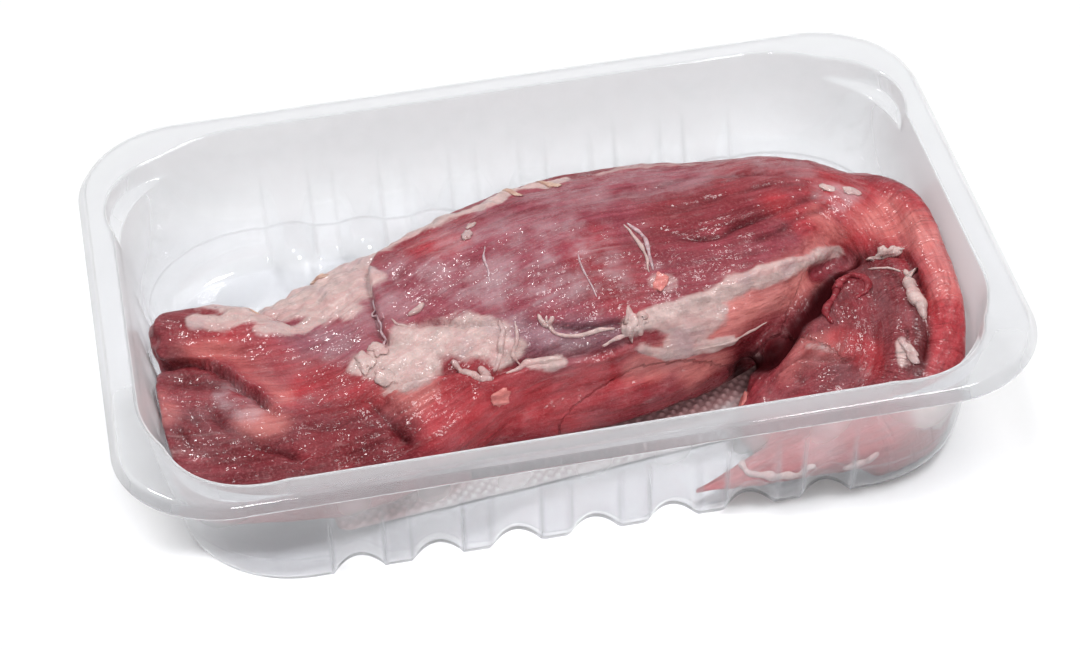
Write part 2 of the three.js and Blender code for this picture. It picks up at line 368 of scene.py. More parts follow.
def clear_plastic():
    """Thin glossy sheet with the faint ripple of thermoforming. Lamps pass straight through it."""
    n = Nodes("clear_plastic")
    place = n.add("ShaderNodeTexCoord").outputs["Object"]
    height = n.add("ShaderNodeSeparateXYZ", {0: place}).outputs["Z"]
    ripple = n.noise(place, 45.0, 2.0)
    haze = n.noise(place, 220.0, 4.0, 0.6)
    tint = settings().colours.plastic
    shade = n.mix(n.ramp(haze, 0.35, 0.75), tint, [c * 0.97 for c in tint])
    shade = n.mix(n.ramp(height, 1 * MM, 9 * MM), [c * 0.9 for c in tint], shade)
    sheet = n.add(
        "ShaderNodeBsdfPrincipled",
        {
            "Base Color": shade,
            "Roughness": n.ramp(haze, 0.3, 0.8, 0.01, 0.03),
            "IOR": 1.5,
            "Transmission Weight": 1.0,
            "Normal": n.bump(ripple, 0.2 * MM, 0.2),
        },
    ).outputs[0]
    share, crease = frost_share(n, height)
    # Grey along pressed lines: painted shade of the bends.
    milky = n.mix(crease, [0.92, 0.92, 0.93], [0.56, 0.56, 0.58])
    frost = n.add("ShaderNodeBsdfDiffuse", {"Color": milky}).outputs[0]
    sheet = n.add("ShaderNodeMixShader", {0: share, 1: sheet, 2: frost}).outputs[0]
    through = n.add("ShaderNodeBsdfTransparent", {"Color": rgba([c**0.9 for c in tint])}).outputs[0]
    lamp = n.add("ShaderNodeLightPath").outputs["Is Shadow Ray"]
    return n.finish(n.add("ShaderNodeMixShader", {0: lamp, 1: sheet, 2: through}).outputs[0])


def pad_fibre():
    """Matt fibre pad, pinker where juice has soaked in, with painted shade in the pits between the embossed
    dots.
    """
    n = Nodes("pad_fibre")
    colours = settings().colours
    place = n.add("ShaderNodeTexCoord").outputs["Object"]
    soaked = n.attribute("soak", "Fac")
    uneven = n.noise(place, 90.0, 4.0, 0.6)
    stain = n.ramp(n.math("ADD", soaked, n.math("MULTIPLY", uneven, 0.5)), 0.45, 1.15)
    fibre = n.noise(n.stretched(place, (1.0, 1.6, 1.0)), 2600.0, 3.0, 0.7)
    clean = n.mix(n.ramp(fibre, 0.3, 0.7), colours.pad, [c * 0.9 for c in colours.pad])
    # Painted shade in the pits between the embossed dots.
    pit = n.attribute("pit", "Fac")
    fibres = n.mix(stain, clean, colours.pad_stain)
    shader = n.add(
        "ShaderNodeBsdfPrincipled",
        {
            "Base Color": n.mix(n.math("MULTIPLY", pit, 0.7), fibres, [0.62, 0.54, 0.55], "MULTIPLY"),
            "Roughness": n.ramp(stain, 0.0, 1.0, 0.75, 0.4),
            "Normal": n.bump(fibre, 0.12 * MM, 0.6),
        },
    )
    return n.finish(shader.outputs[0])


class MeatPatterns:
    """The painted shares and the noises that the meat's colour and relief are made of."""

    def __init__(self, n):
        place = n.add("ShaderNodeTexCoord").outputs["Object"]
        grain = n.attribute("grain", "Vector")
        self.tint = n.attribute("tint", "Color")
        cover = n.add("ShaderNodeSeparateColor", {0: n.attribute("cover", "Color")})
        self.fat, self.silver, self.rope = cover.outputs[0], cover.outputs[1], cover.outputs[2]
        # lit is 1 on the lean tints and falls to 0 where painted shade has turned the tint to the shadow
        # colour. Fibres, flecks and gloss fade with it.
        self.lit = n.ramp(n.add("ShaderNodeSeparateColor", {0: self.tint}).outputs[0], 0.06, 0.16)
        self.strands = n.noise(n.stretched(grain, (60.0, 640.0, 640.0)), 1.0, 5.0, 0.62)
        self.bundles = n.noise(n.stretched(grain, (25.0, 260.0, 260.0)), 1.0, 3.0, 0.55)
        self.wisps = n.noise(n.stretched(grain, (40.0, 210.0, 210.0)), 1.0, 7.0, 0.68, 1.2)
        self.ripples = n.noise(n.stretched(grain, (170.0, 500.0, 500.0)), 1.0, 1.0, 0.4)
        crosswise = n.noise(n.stretched(grain, (400.0, 60.0, 60.0)), 1.0, 2.0)
        self.wrinkles = n.ramp(crosswise, 0.3, 0.6, 0.0, 0.6)
        self.cells = n.noise(place, 1100.0, 3.0, 0.65)
        self.grit = n.noise(place, 2100.0, 2.0, 0.6)
        self.beads = n.noise(place, 760.0, 1.0, 0.4)
        self.wet = n.noise(place, 420.0, 3.0, 0.6)
        self.lumps = n.noise(place, 300.0, 5.0, 0.62)
        self.blotch = n.noise(place, 120.0, 4.0, 0.6)
        self.clouds = n.noise(place, 110.0, 4.0, 0.6)


def lean_colour(n, p, silverskin):
    """Red meat with darker fibres, lighter blotches, pale flecks, tiny pale dots painted as glints and a veil
    of silverskin.
    """

    def part(value, low, high, most):
        return n.math("MULTIPLY", n.math("MULTIPLY", n.ramp(value, low, high), most), p.lit)

    lean = n.mix(part(p.strands, 0.42, 0.60, 0.6), p.tint, [0.62, 0.42, 0.44], "MULTIPLY")
    lean = n.mix(part(p.bundles, 0.45, 0.65, 0.4), lean, [0.72, 0.58, 0.58], "MULTIPLY")
    lean = n.mix(part(p.blotch, 0.35, 0.65, 0.6), lean, [1.3, 1.35, 1.35], "MULTIPLY")
    lean = n.mix(part(p.cells, 0.5, 0.64, 0.14), lean, [0.66, 0.20, 0.21])
    # Tiny pale dots painted as glints.
    lean = n.mix(part(p.grit, 0.60, 0.70, 0.14), lean, [0.75, 0.45, 0.45])
    veil = n.math("MULTIPLY", p.silver, n.ramp(n.mix(0.6, p.wisps, p.clouds), 0.38, 0.62), clamp=True)
    return n.mix(n.math("MULTIPLY", veil, 0.52), lean, silverskin)


def fat_colour(n, p, fat):
    """Pinkish white fat, lumpy, with meat showing through in wisps and clouds."""
    tallow = n.mix(n.ramp(p.lumps, 0.3, 0.7), [c * 1.2 for c in fat], [c * 0.82 for c in fat])
    tallow = n.mix(n.math("MULTIPLY", n.ramp(p.wisps, 0.46, 0.62), 0.7), tallow, [0.62, 0.36, 0.35])
    return n.mix(n.math("MULTIPLY", n.ramp(p.clouds, 0.5, 0.7), 0.5), tallow, [0.52, 0.36, 0.38])


def fat_share(n, p):
    """The painted share of fat with a ragged edge."""
    edge = n.math("ADD", p.fat, n.math("MULTIPLY", n.math("SUBTRACT", p.lumps, 0.5), 0.8))
    edge = n.math("ADD", edge, n.math("MULTIPLY", n.math("SUBTRACT", p.wisps, 0.5), 1.6))
    return n.ramp(edge, 0.12, 0.85)


def meat_relief(n, p, white):
    """Bundles or wrinkles first, then fibres and cells, or lumps where there is fat."""
    fine = n.math("ADD", p.strands, n.math("MULTIPLY", n.math("ADD", p.cells, p.grit), 0.35))
    fine = n.mix(white, fine, n.math("MULTIPLY", p.lumps, 2.4))
    coarse = n.bump(n.mix(p.rope, p.bundles, p.wrinkles), 1.2 * MM, 0.8)
    return n.bump(fine, 0.5 * MM, 0.7, coarse)


def wet_film(n, p):
    """The smoother surface of the moisture, which catches small glints."""
    film = n.math("ADD", n.mix(p.rope, p.ripples, p.wrinkles), n.math("MULTIPLY", p.beads, 0.6))
    return n.bump(film, 0.8 * MM, 0.8)


def raw_meat():
    """Moist lean meat, fat and membrane. Colours come from the surface, grain from its own direction."""
    n = Nodes("raw_meat")
    colours = settings().colours
    p = MeatPatterns(n)
    white = fat_share(n, p)
    shader = n.add(
        "ShaderNodeBsdfPrincipled",
        {
            "Base Color": n.mix(white, lean_colour(n, p, colours.silverskin), fat_colour(n, p, colours.fat)),
            "Roughness": n.ramp(p.wet, 0.35, 0.65, 0.26, 0.42),
            "Specular IOR Level": n.math("MULTIPLY", p.lit, 0.2),
            "IOR": 1.4,
            "Subsurface Weight": 0.12,
            "Subsurface Radius": (1.0, 0.35, 0.25),
            "Subsurface Scale": 1.2 * MM,
            "Coat Weight": n.math("MULTIPLY", p.lit, n.ramp(p.blotch, 0.38, 0.62, 0.12, 0.6)),
            "Coat Roughness": 0.12,
            "Normal": meat_relief(n, p, white),
            "Coat Normal": wet_film(n, p),
        },
    )
    return n.finish(shader.outputs[0])


def studio_floor():
    """Pale seamless floor with a barely visible mottle."""
    n = Nodes("studio_floor")
    place = n.add("ShaderNodeTexCoord").outputs["Object"]
    mottle = n.noise(place, 4.0, 3.0)
    tone = settings().stage.floor_colour
    shader = n.add(
        "ShaderNodeBsdfPrincipled",
        {
            "Base Color": n.mix(mottle, tone, [c * 0.985 for c in tone]),
            "Roughness": 0.9,
            "Specular IOR Level": 0.1,
        },
    )
    return n.finish(shader.outputs[0])


# ---------------------------------------------------------------- the tray


class TrayShape:
    """The tray's rounded outlines at each level, in millimetres."""

    HUB = (70.0, 34.0)
    LONG_FLUTES = 7
    SHORT_FLUTES = 3
    FOLD_LEVEL = 3
    POCKET_ANGLES = (28.0, 152.0, 237.0, 303.0)
    POCKET_SPREAD = 26.0

    def __init__(self, sizes):
        self.s = {key: getattr(sizes, key) / MM for key in sizes.__annotations__}
        self.rim_x = (TRAY_HIGH[0] - TRAY_LOW[0]) / MM / 2 - self.s["skirt_flare"]
        self.rim_y = (TRAY_HIGH[1] - TRAY_LOW[1]) / MM / 2 - self.s["skirt_flare"]
        self.top = TRAY_HIGH[2] / MM

    def flute_share(self, offset, count):
        """1 in the middle of a flute, 0 outside it."""
        offset = np.asarray(offset, dtype=float)
        pitch = self.s["flute_pitch"]
        nearest = np.clip(np.round(offset / pitch), -(count - 1) // 2, (count - 1) // 2) * pitch
        away = np.clip(np.abs(offset - nearest) / self.s["flute_half_width"], 0.0, 1.0)
        return np.cos(away * np.pi / 2) ** 0.85

    def stations(self, spacing, corner_steps):
        """Quarter, offset along the side, corner angle and flute share of every point of a ring."""
        rows = []
        for quarter in range(4):
            long = quarter % 2 == 0
            span = self.HUB[0] if long else self.HUB[1]
            count = self.LONG_FLUTES if long else self.SHORT_FLUTES
            offsets = np.linspace(-span, span, int(2 * span / spacing) + 1)
            for offset, share in zip(offsets, self.flute_share(offsets, count)):
                rows.append((quarter, offset, np.nan, share, abs(offset) / span))
            for step in range(1, corner_steps):
                angle = math.radians((quarter - 1) * 90 + step * 90 / corner_steps)
                rows.append((quarter, 0.0, angle, 0.0, 1.0))
        return np.array(rows)

    def pocket_share(self, angle):
        """1 in the middle of a corner shelf, 0 outside it."""
        degrees = np.degrees(angle) % 360
        share = np.zeros_like(degrees)
        for middle in self.POCKET_ANGLES:
            away = np.clip(np.abs(degrees - middle) / self.POCKET_SPREAD, 0.0, 1.0)
            share = np.maximum(share, np.cos(away * np.pi / 2))
        return share

    def corner_reach(self, half_x, half_y, corner, angle):
        """Distance from a corner's hub to the outline along angle."""
        cos, sin = np.abs(np.cos(angle)), np.abs(np.sin(angle))
        reach = np.minimum((half_y - self.HUB[1]) / sin, (half_x - self.HUB[0]) / cos)
        centre_x, centre_y = half_x - corner - self.HUB[0], half_y - corner - self.HUB[1]
        along = cos * centre_x + sin * centre_y
        inside = along**2 - centre_x**2 - centre_y**2 + corner**2
        curved = along + np.sqrt(np.maximum(inside, 0.0))
        rounded = (cos * reach > centre_x) & (sin * reach > centre_y)
        return np.where(rounded, curved, reach)

    def ring(self, rows, level):
        """Points of one level."""
        half_x, half_y, corner = level["half_x"], level["half_y"], level["corner"]
        quarter, offset, angle, share, bend = rows.T
        height = level["z"] + level.get("arch", 0) * share - level.get("sag", 0) * (1 - bend**2)
        pull = level.get("flute", 0) * share
        points = np.zeros((len(rows), 3))
        points[:, 2] = height
        for side, (x, y) in enumerate(
            (
                (offset, -half_y + pull),
                (half_x - pull, offset),
                (-offset, half_y - pull),
                (-half_x + pull, -offset),
            )
        ):
            here = quarter == side
            points[here, 0] = np.broadcast_to(x, len(rows))[here]
            points[here, 1] = np.broadcast_to(y, len(rows))[here]
        bent = ~np.isnan(angle)
        turn = angle[bent]
        reach = self.corner_reach(half_x, half_y, corner, turn)
        reach = reach + level.get("pocket", 0) * self.pocket_share(turn)
        points[bent, 0] = np.sign(np.cos(turn)) * self.HUB[0] + reach * np.cos(turn)
        points[bent, 1] = np.sign(np.sin(turn)) * self.HUB[1] + reach * np.sin(turn)
        return points

    def wall(self, z):
        """Outline of the drafted wall at a height."""
        s = self.s
        t = (z - s["fold_height"]) / (self.top - s["fold_height"])
        return {
            "half_x": (s["fold_length"] + (s["mouth_length"] - s["fold_length"]) * t) / 2,
            "half_y": (s["fold_width"] + (s["mouth_width"] - s["fold_width"]) * t) / 2,
            "corner": s["fold_corner"] + (s["mouth_corner"] - s["fold_corner"]) * t,
            "z": z,
        }

    def wall_levels(self, inset):
        """(level, rounding) pairs of one skin, from the flat base to the corner shelves."""
        s = self.s

        def shrink(level):
            smaller = {key: level[key] - inset for key in ("half_x", "half_y", "corner")}
            return {**level, **smaller}

        half_x, half_y = s["base_length"] / 2, s["base_width"] / 2
        scoop = {
            "half_x": half_x - s["flute_scoop"],
            "half_y": half_y - s["flute_scoop"],
            "corner": s["base_corner"] - s["flute_scoop"],
            "z": inset,
        }
        edge = {"half_x": half_x, "half_y": half_y, "corner": s["base_corner"], "z": inset}
        haunch = {
            "half_x": (s["base_length"] + 2 * s["fold_length"]) / 6,
            "half_y": (s["base_width"] + 2 * s["fold_width"]) / 6,
            "corner": (s["base_corner"] + s["fold_corner"]) / 2,
            "z": s["haunch_height"],
            "flute": s["flute_depth"],
            "arch": s["flute_arch"] - 0.5,
        }
        fold = {
            "half_x": s["fold_length"] / 2,
            "half_y": s["fold_width"] / 2,
            "corner": s["fold_corner"],
            "z": s["fold_height"],
            "flute": s["flute_depth"],
            "arch": s["flute_arch"] - 1,
            "sag": s["fold_sag"],
        }
        shelf = s["shelf_height"]
        return [
            (scoop, 5.0),
            ({**shrink(edge), "flute": s["flute_depth"] / 2, "arch": s["flute_arch"]}, 2.2),
            (shrink(haunch), 3.5),
            (shrink(fold), 0.7),
            (shrink({**self.wall(21.0), "flute": s["flute_depth"] * 0.55}), 6.0),
            (shrink(self.wall(s["flute_fade"])), 4.0),
            (shrink(self.wall(shelf + inset)), 0.5),
            (shrink({**self.wall(shelf + 0.6 + inset), "pocket": s["shelf_reach"]}), 0.5),
        ]

    def rim_levels(self):
        """(level, rounding) pairs of the flange and its skirt, from its underside to the mouth."""
        s = self.s
        sheet, top, pocket = s["sheet"], self.top, s["shelf_reach"] * 0.8

        def grown(by, z):
            sides = {"half_x": self.rim_x + by, "half_y": self.rim_y + by}
            return {**sides, "corner": s["rim_corner"] + by, "z": z}

        under = {**self.wall(top - sheet), "pocket": pocket}
        lip = {**self.wall(top), "pocket": pocket}
        inner = {**lip, "z": top - 0.7}
        for key in ("half_x", "half_y", "corner"):
            inner[key] = lip[key] - sheet
            lip[key] = lip[key] - sheet * 0.6
        return [
            (under, 0.8),
            (grown(-sheet - 0.2, top - sheet), 0.6),
            (grown(s["skirt_flare"] - sheet, top - s["skirt_drop"]), 0.22),
            (grown(s["skirt_flare"], top - s["skirt_drop"]), 0.22),
            (grown(-0.1, top), 0.9),
            (lip, 0.8),
            (inner, 0.4),
        ]

    def creases(self, rows, rings, fold):
        """Share of a pressed line at each point: the fold above the base and both edges of every flute. The
        material greys these lines as painted shade of the bends.
        """
        height = rings[..., 2]
        line = 0.6 * np.exp(-(((height - fold[:, 2]) / 0.35) ** 2))
        quarter, offset = rows[:, 0], rows[:, 1]
        counts = np.where(quarter % 2 == 0, self.LONG_FLUTES, self.SHORT_FLUTES)
        pitch = self.s["flute_pitch"]
        last = (counts - 1) // 2
        away = np.abs(offset - np.clip(np.round(offset / pitch), -last, last) * pitch)
        edge = np.exp(-(((away - self.s["flute_half_width"]) / 0.6) ** 2)) * np.isnan(rows[:, 2])
        fade = 1 - smooth_step(0.45 * self.s["flute_fade"], self.s["flute_fade"], height)
        # The flute edges get more painted shade on the front wall than on the other walls.
        sharpness = np.where(quarter == 0, 1.4, 0.4)
        return np.maximum(line, sharpness * edge * fade * (height > 1.0))

    def profile(self):
        """All levels from under the base, over the rim and down to the floor."""
        inside = self.wall_levels(self.s["sheet"])
        return self.wall_levels(0.0) + self.rim_levels() + inside[::-1]


def rounded_rings(rings, radii, steps):
    """Rounds the crease at each ring by its radius."""
    result = [rings[0]]
    for before, here, after, radius in zip(rings[:-2], rings[1:-1], rings[2:], radii[1:-1]):
        back, ahead = before - here, after - here
        back_share = np.minimum(0.48, radius / np.maximum(np.linalg.norm(back, axis=1), 1e-6))[:, None]
        ahead_share = np.minimum(0.48, radius / np.maximum(np.linalg.norm(ahead, axis=1), 1e-6))[:, None]
        start, end = here + back * back_share, here + ahead * ahead_share
        for t in np.linspace(0.0, 1.0, steps if radius > 0.2 else 2):
            result.append(start * (1 - t) ** 2 + here * 2 * t * (1 - t) + end * t**2)
    result.append(rings[-1])
    return result


class MEATTRAY_OT_tray(bpy.types.Operator):
    """Build the clear tray"""

    bl_idname = "meat_tray.build_tray"
    bl_label = "Build tray"

    def execute(self, context):
        shape = TrayShape(settings().tray)
        rows = shape.stations(spacing=1.1 if FINE else 2.2, corner_steps=48 if FINE else 24)
        levels, radii = zip(*shape.profile())
        rings = [shape.ring(rows, level) for level in levels]
        fine = np.array(rounded_rings(rings, radii, steps=6))
        points, faces = loft_arrays(fine)
        piece = object_from("tray_shell", points, faces, clear_plastic())
        lines = shape.creases(rows, fine, rings[shape.FOLD_LEVEL]).ravel()
        store_share(piece.data, "crease", np.append(lines, (0.0, 0.0)))
        finish_piece(piece, "clear_plastic", "tray")
        return {"FINISHED"}


# ---------------------------------------------------------------- the pad


def pad_axes():
    """Middle of the pad and its two directions, in millimetres."""
    pad = settings().pad
    middle = np.array([(PAD_LOW[axis] + PAD_HIGH[axis]) / 2 / MM for axis in range(2)])
    turn = np.array(((math.cos(pad.turn), math.sin(pad.turn)), (-math.sin(pad.turn), math.cos(pad.turn))))
    return middle, turn


class MEATTRAY_OT_pad(bpy.types.Operator):
    """Build the embossed absorbent pad"""

    bl_idname = "meat_tray.build_pad"
    bl_label = "Build pad"

    CORNER = 3.0
    EDGE_ROUND = 1.2
    STEP = 0.5 if FINE else 0.8
    LEAST = 0.02
    SWELL = 0.1
    SOAKED, DRY = 1.5, 10.0

    def execute(self, context):
        pad = settings().pad
        half_u, half_v = pad.length / MM / 2, pad.width / MM / 2
        grid_u, grid_v, shape = self.grid(half_u, half_v)
        edge = np.minimum(half_u - np.abs(grid_u), half_v - np.abs(grid_v))
        rise = np.sqrt(1 - (1 - np.clip(edge / self.EDGE_ROUND, 0, 1)) ** 2)
        relief = pad.boss_height / MM
        dent = relief * self.dents(pad.boss_pitch / MM, grid_u, grid_v)
        swell = self.SWELL * noise(np.stack((grid_u, grid_v, grid_u * 0), axis=1), 14.0, 5)
        bottom, top = PAD_LOW[2] / MM, PAD_HIGH[2] / MM
        upper = bottom + rise * (top - bottom - dent + np.minimum(swell, 0.0)) + self.LEAST
        upper = np.maximum(upper, bottom + self.LEAST)
        middle, turn = pad_axes()
        spread = np.stack((grid_u, grid_v), axis=1) @ turn + middle
        under = np.full(len(spread), bottom)
        points = np.concatenate((np.column_stack((spread, upper)), np.column_stack((spread, under))))
        piece = object_from("pad_sheet", points, self.faces(shape), pad_fibre())
        store_share(piece.data, "soak", 1 - smooth_step(self.SOAKED, self.DRY, distance_to_meat(points)))
        # The pits' share, which the pad's material darkens as painted shade.
        store_share(piece.data, "pit", np.tile(dent / relief, 2))
        finish_piece(piece, "pad", "absorbent_pad")
        return {"FINISHED"}

    def grid(self, half_u, half_v):
        """A grid of points over the pad, drawn in at its corners."""
        u = np.linspace(-1, 1, int(2 * half_u / self.STEP))
        v = np.linspace(-1, 1, int(2 * half_v / self.STEP))
        grid_u, grid_v = (axis.ravel() for axis in np.meshgrid(u * half_u, v * half_v, indexing="ij"))
        over_u = np.clip((np.abs(grid_u) - half_u + self.CORNER) / self.CORNER, 0, 1)
        over_v = np.clip((np.abs(grid_v) - half_v + self.CORNER) / self.CORNER, 0, 1)
        both = (over_u > 0) & (over_v > 0)
        round_u = np.where(both, over_u * np.sqrt(1 - over_v**2 / 2), over_u)
        round_v = np.where(both, over_v * np.sqrt(1 - over_u**2 / 2), over_v)
        grid_u += np.sign(grid_u) * (round_u - over_u) * self.CORNER
        grid_v += np.sign(grid_v) * (round_v - over_v) * self.CORNER
        return grid_u, grid_v, (len(u), len(v))

    def dents(self, pitch, grid_u, grid_v):
        """1 between the embossed dots, 0 on top of them. The dots stand in staggered rows."""
        turn_u, turn_v = (grid_u + grid_v) * np.pi / pitch, (grid_u - grid_v) * np.pi / pitch
        dots = np.cos(turn_u * 1.41) + np.cos(turn_v * 1.41)
        return 1 - smooth_step(-0.4, 1.5, dots)

    def faces(self, shape):
        """Quads of the top, the bottom and the edge between them."""
        index = np.arange(shape[0] * shape[1]).reshape(shape)
        a, b, c, d = index[:-1, :-1], index[1:, :-1], index[1:, 1:], index[:-1, 1:]
        top_faces = np.stack((a, b, c, d), axis=-1).reshape(-1, 4)
        bottom_faces = top_faces[:, ::-1] + index.size
        loop = np.concatenate((index[:, 0], index[-1, 1:], index[-2::-1, -1], index[0, -2:0:-1]))
        nexts = np.roll(loop, -1)
        sides = np.stack((loop, loop + index.size, nexts + index.size, nexts), axis=1)
        return np.concatenate((top_faces, bottom_faces, sides)).tolist()


# ---------------------------------------------------------------- the meat

# Middle of the muscle from its folded left end, round the right end and back along the front.
MUSCLE_ROUTE = (
    (-104, -7, 14),
    (-88, -15, 15),
    (-60, -14, 15.5),
    (-28, 1, 18.5),
    (10, 11, 21),
    (45, 12, 21.5),
    (74, 18, 21),
    (91, 8, 18.5),
    (94, -12, 17.5),
    (93, -35, 16.5),
    (83, -52, 12),
    (58, -57, 7.5),
    (27, -61, 4),
)


def distance_to_meat(points):
    """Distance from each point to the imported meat, in millimetres."""
    tree = search_tree(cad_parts["tenderloin"].data)
    return np.array([tree.find_nearest(Vector(p) * MM)[3] / MM for p in np.asarray(points)])


# Points nearer the middle of the tray than this can't reach a wall.
CLEAR_OF_WALLS = (85.0, 50.0)
# Half sizes of the middle that points are pushed back towards.
TRAY_MIDDLE = (60.0, 20.0)
PAD_CLEARANCE = 0.2


def kept_in_tray(points, soft=2.0, clearance=0.5):
    """Presses points that reach the tray's walls or base flat against them."""
    tree = search_tree(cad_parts["tray"].data)
    kept = points.copy()
    kept[:, 2] = np.maximum(points[:, 2], PAD_LOW[2] / MM + PAD_CLEARANCE)
    outer = np.nonzero(np.any(np.abs(points[:, :2]) > CLEAR_OF_WALLS, axis=1))[0]
    for row in outer:
        hub = np.append(np.clip(kept[row, :2], np.negative(TRAY_MIDDLE), TRAY_MIDDLE), kept[row, 2])
        away = kept[row] - hub
        reach = float(np.linalg.norm(away))
        hit = tree.ray_cast(Vector(hub) * MM, Vector(away / reach))[0]
        if hit is None:
            continue
        limit = (hit - Vector(hub) * MM).length / MM - clearance
        if reach > limit - soft:
            kept[row] = hub + away / reach * (limit - soft + soft * math.tanh((reach - limit + soft) / soft))
    return kept


def lobe_arrays(posts, sides=16, spacing=4.0, top=2.1, under=3.0):
    """A lobe of muscle swept along posts of (x, y, z, half width, half height)."""
    posts = np.asarray(posts, dtype=float)
    span = np.linalg.norm(np.diff(posts[:, :3], axis=0), axis=1).sum()
    t = np.linspace(0, 1, max(6, int(span / spacing)))
    path = catmull(posts, t)
    tangent = np.gradient(path[:, :3], axis=0)
    across = np.stack((tangent[:, 1], -tangent[:, 0], np.zeros(len(t))), axis=1)
    across /= np.linalg.norm(across, axis=1)[:, None]
    angle = np.arange(sides) * 2 * np.pi / sides
    power = 2 / np.where(np.sin(angle) < 0, under, top)
    side = -np.sign(np.cos(angle)) * np.abs(np.cos(angle)) ** power
    rise = np.sign(np.sin(angle)) * np.abs(np.sin(angle)) ** power
    rings = path[:, None, :3] + across[:, None] * (side[None] * path[:, 3:4])[..., None]
    rings[..., 2] += rise[None] * path[:, 4:5]
    return loft_arrays(rings)


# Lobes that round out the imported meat: posts of x, y, z, half width and half height.
MEAT_LOBES = {
    "thick_muscle": (
        (-43, 6, 21, 9, 7),
        (-37, 8, 21, 21, 13.5),
        (-25, 9, 20.7, 28, 17.2),
        (-5, 11, 21.2, 34, 19.3),
        (20, 12, 21.4, 36, 20),
        (48, 13, 22, 32, 19.7),
        (70, 16, 22.3, 22, 18.6),
        (88, 15, 21, 12, 15),
    ),
    "end_flap": (
        (-101, 12, 25, 4, 5),
        (-92, 8, 27, 9, 3.5),
        (-80, 2, 28, 9, 3.5),
        (-68, -8, 26.5, 7, 3.5),
        (-58, -20, 21, 5, 4),
    ),
    "fat_ridge": (
        (30, -12, 19, 5, 4),
        (45, -6, 21, 5, 5),
        (60, 3, 24, 5, 4.5),
        (72, 8, 27.5, 5, 4.5),
        (82, 12, 30, 4.5, 4.5),
    ),
    "rope": (
        (80, 26, 24, 9, 8.5),
        (93, 17, 26.5, 9, 9.5),
        (100.5, 5, 26.5, 7, 11.5),
        (101, -15, 25.5, 6.5, 12),
        (100, -34, 23, 6.5, 12),
        (94, -50, 15, 6, 8),
    ),
    "curled_end": (
        (82, -13, 22, 6, 6),
        (76, -22, 19, 10, 8),
        (66, -34, 15, 14, 9),
        (60, -44, 11, 12, 7),
    ),
}

# Folds: rise of the side on the left, fall of the other side, reach, then the route on the surface.
FOLDS = (
    (
        1.6,
        3.2,
        4.0,
        ((-103, 6, 24), (-100, 0, 25), (-92, -4, 26), (-86, -12, 28), (-81, -20, 29), (-72, -33, 27)),
    ),
    (
        2.2,
        1.6,
        5.0,
        ((-37, 22, 32), (-42, 18, 32), (-44, 7, 32), (-44, -3, 33), (-43, -12, 32), (-41, -17, 31)),
    ),
    (0.6, 1.8, 3.5, ((-39, -11, 33), (-28, -12, 34), (-19, -16, 34), (-12, -16, 34))),
    (0.5, 2.0, 3.5, ((-4, -18, 34), (5, -21, 33), (14, -21, 32), (20, -21, 32))),
    (
        1.8,
        1.6,
        5.0,
        (
            (25, -24, 29), (10, -26, 26), (-6, -27, 27), (-20, -30, 26),
            (-29, -28, 29), (-44, -31, 28), (-48, -33, 28),
        ),
    ),
    (1.4, 1.8, 3.0, ((76, -40, 21), (68, -39, 22), (60, -36, 22), (52, -37, 18))),
    (0.8, 2.6, 3.5, ((87, -9, 31), (92, -11, 33), (95, -15, 33), (95, -22, 33), (94, -32, 32))),
)

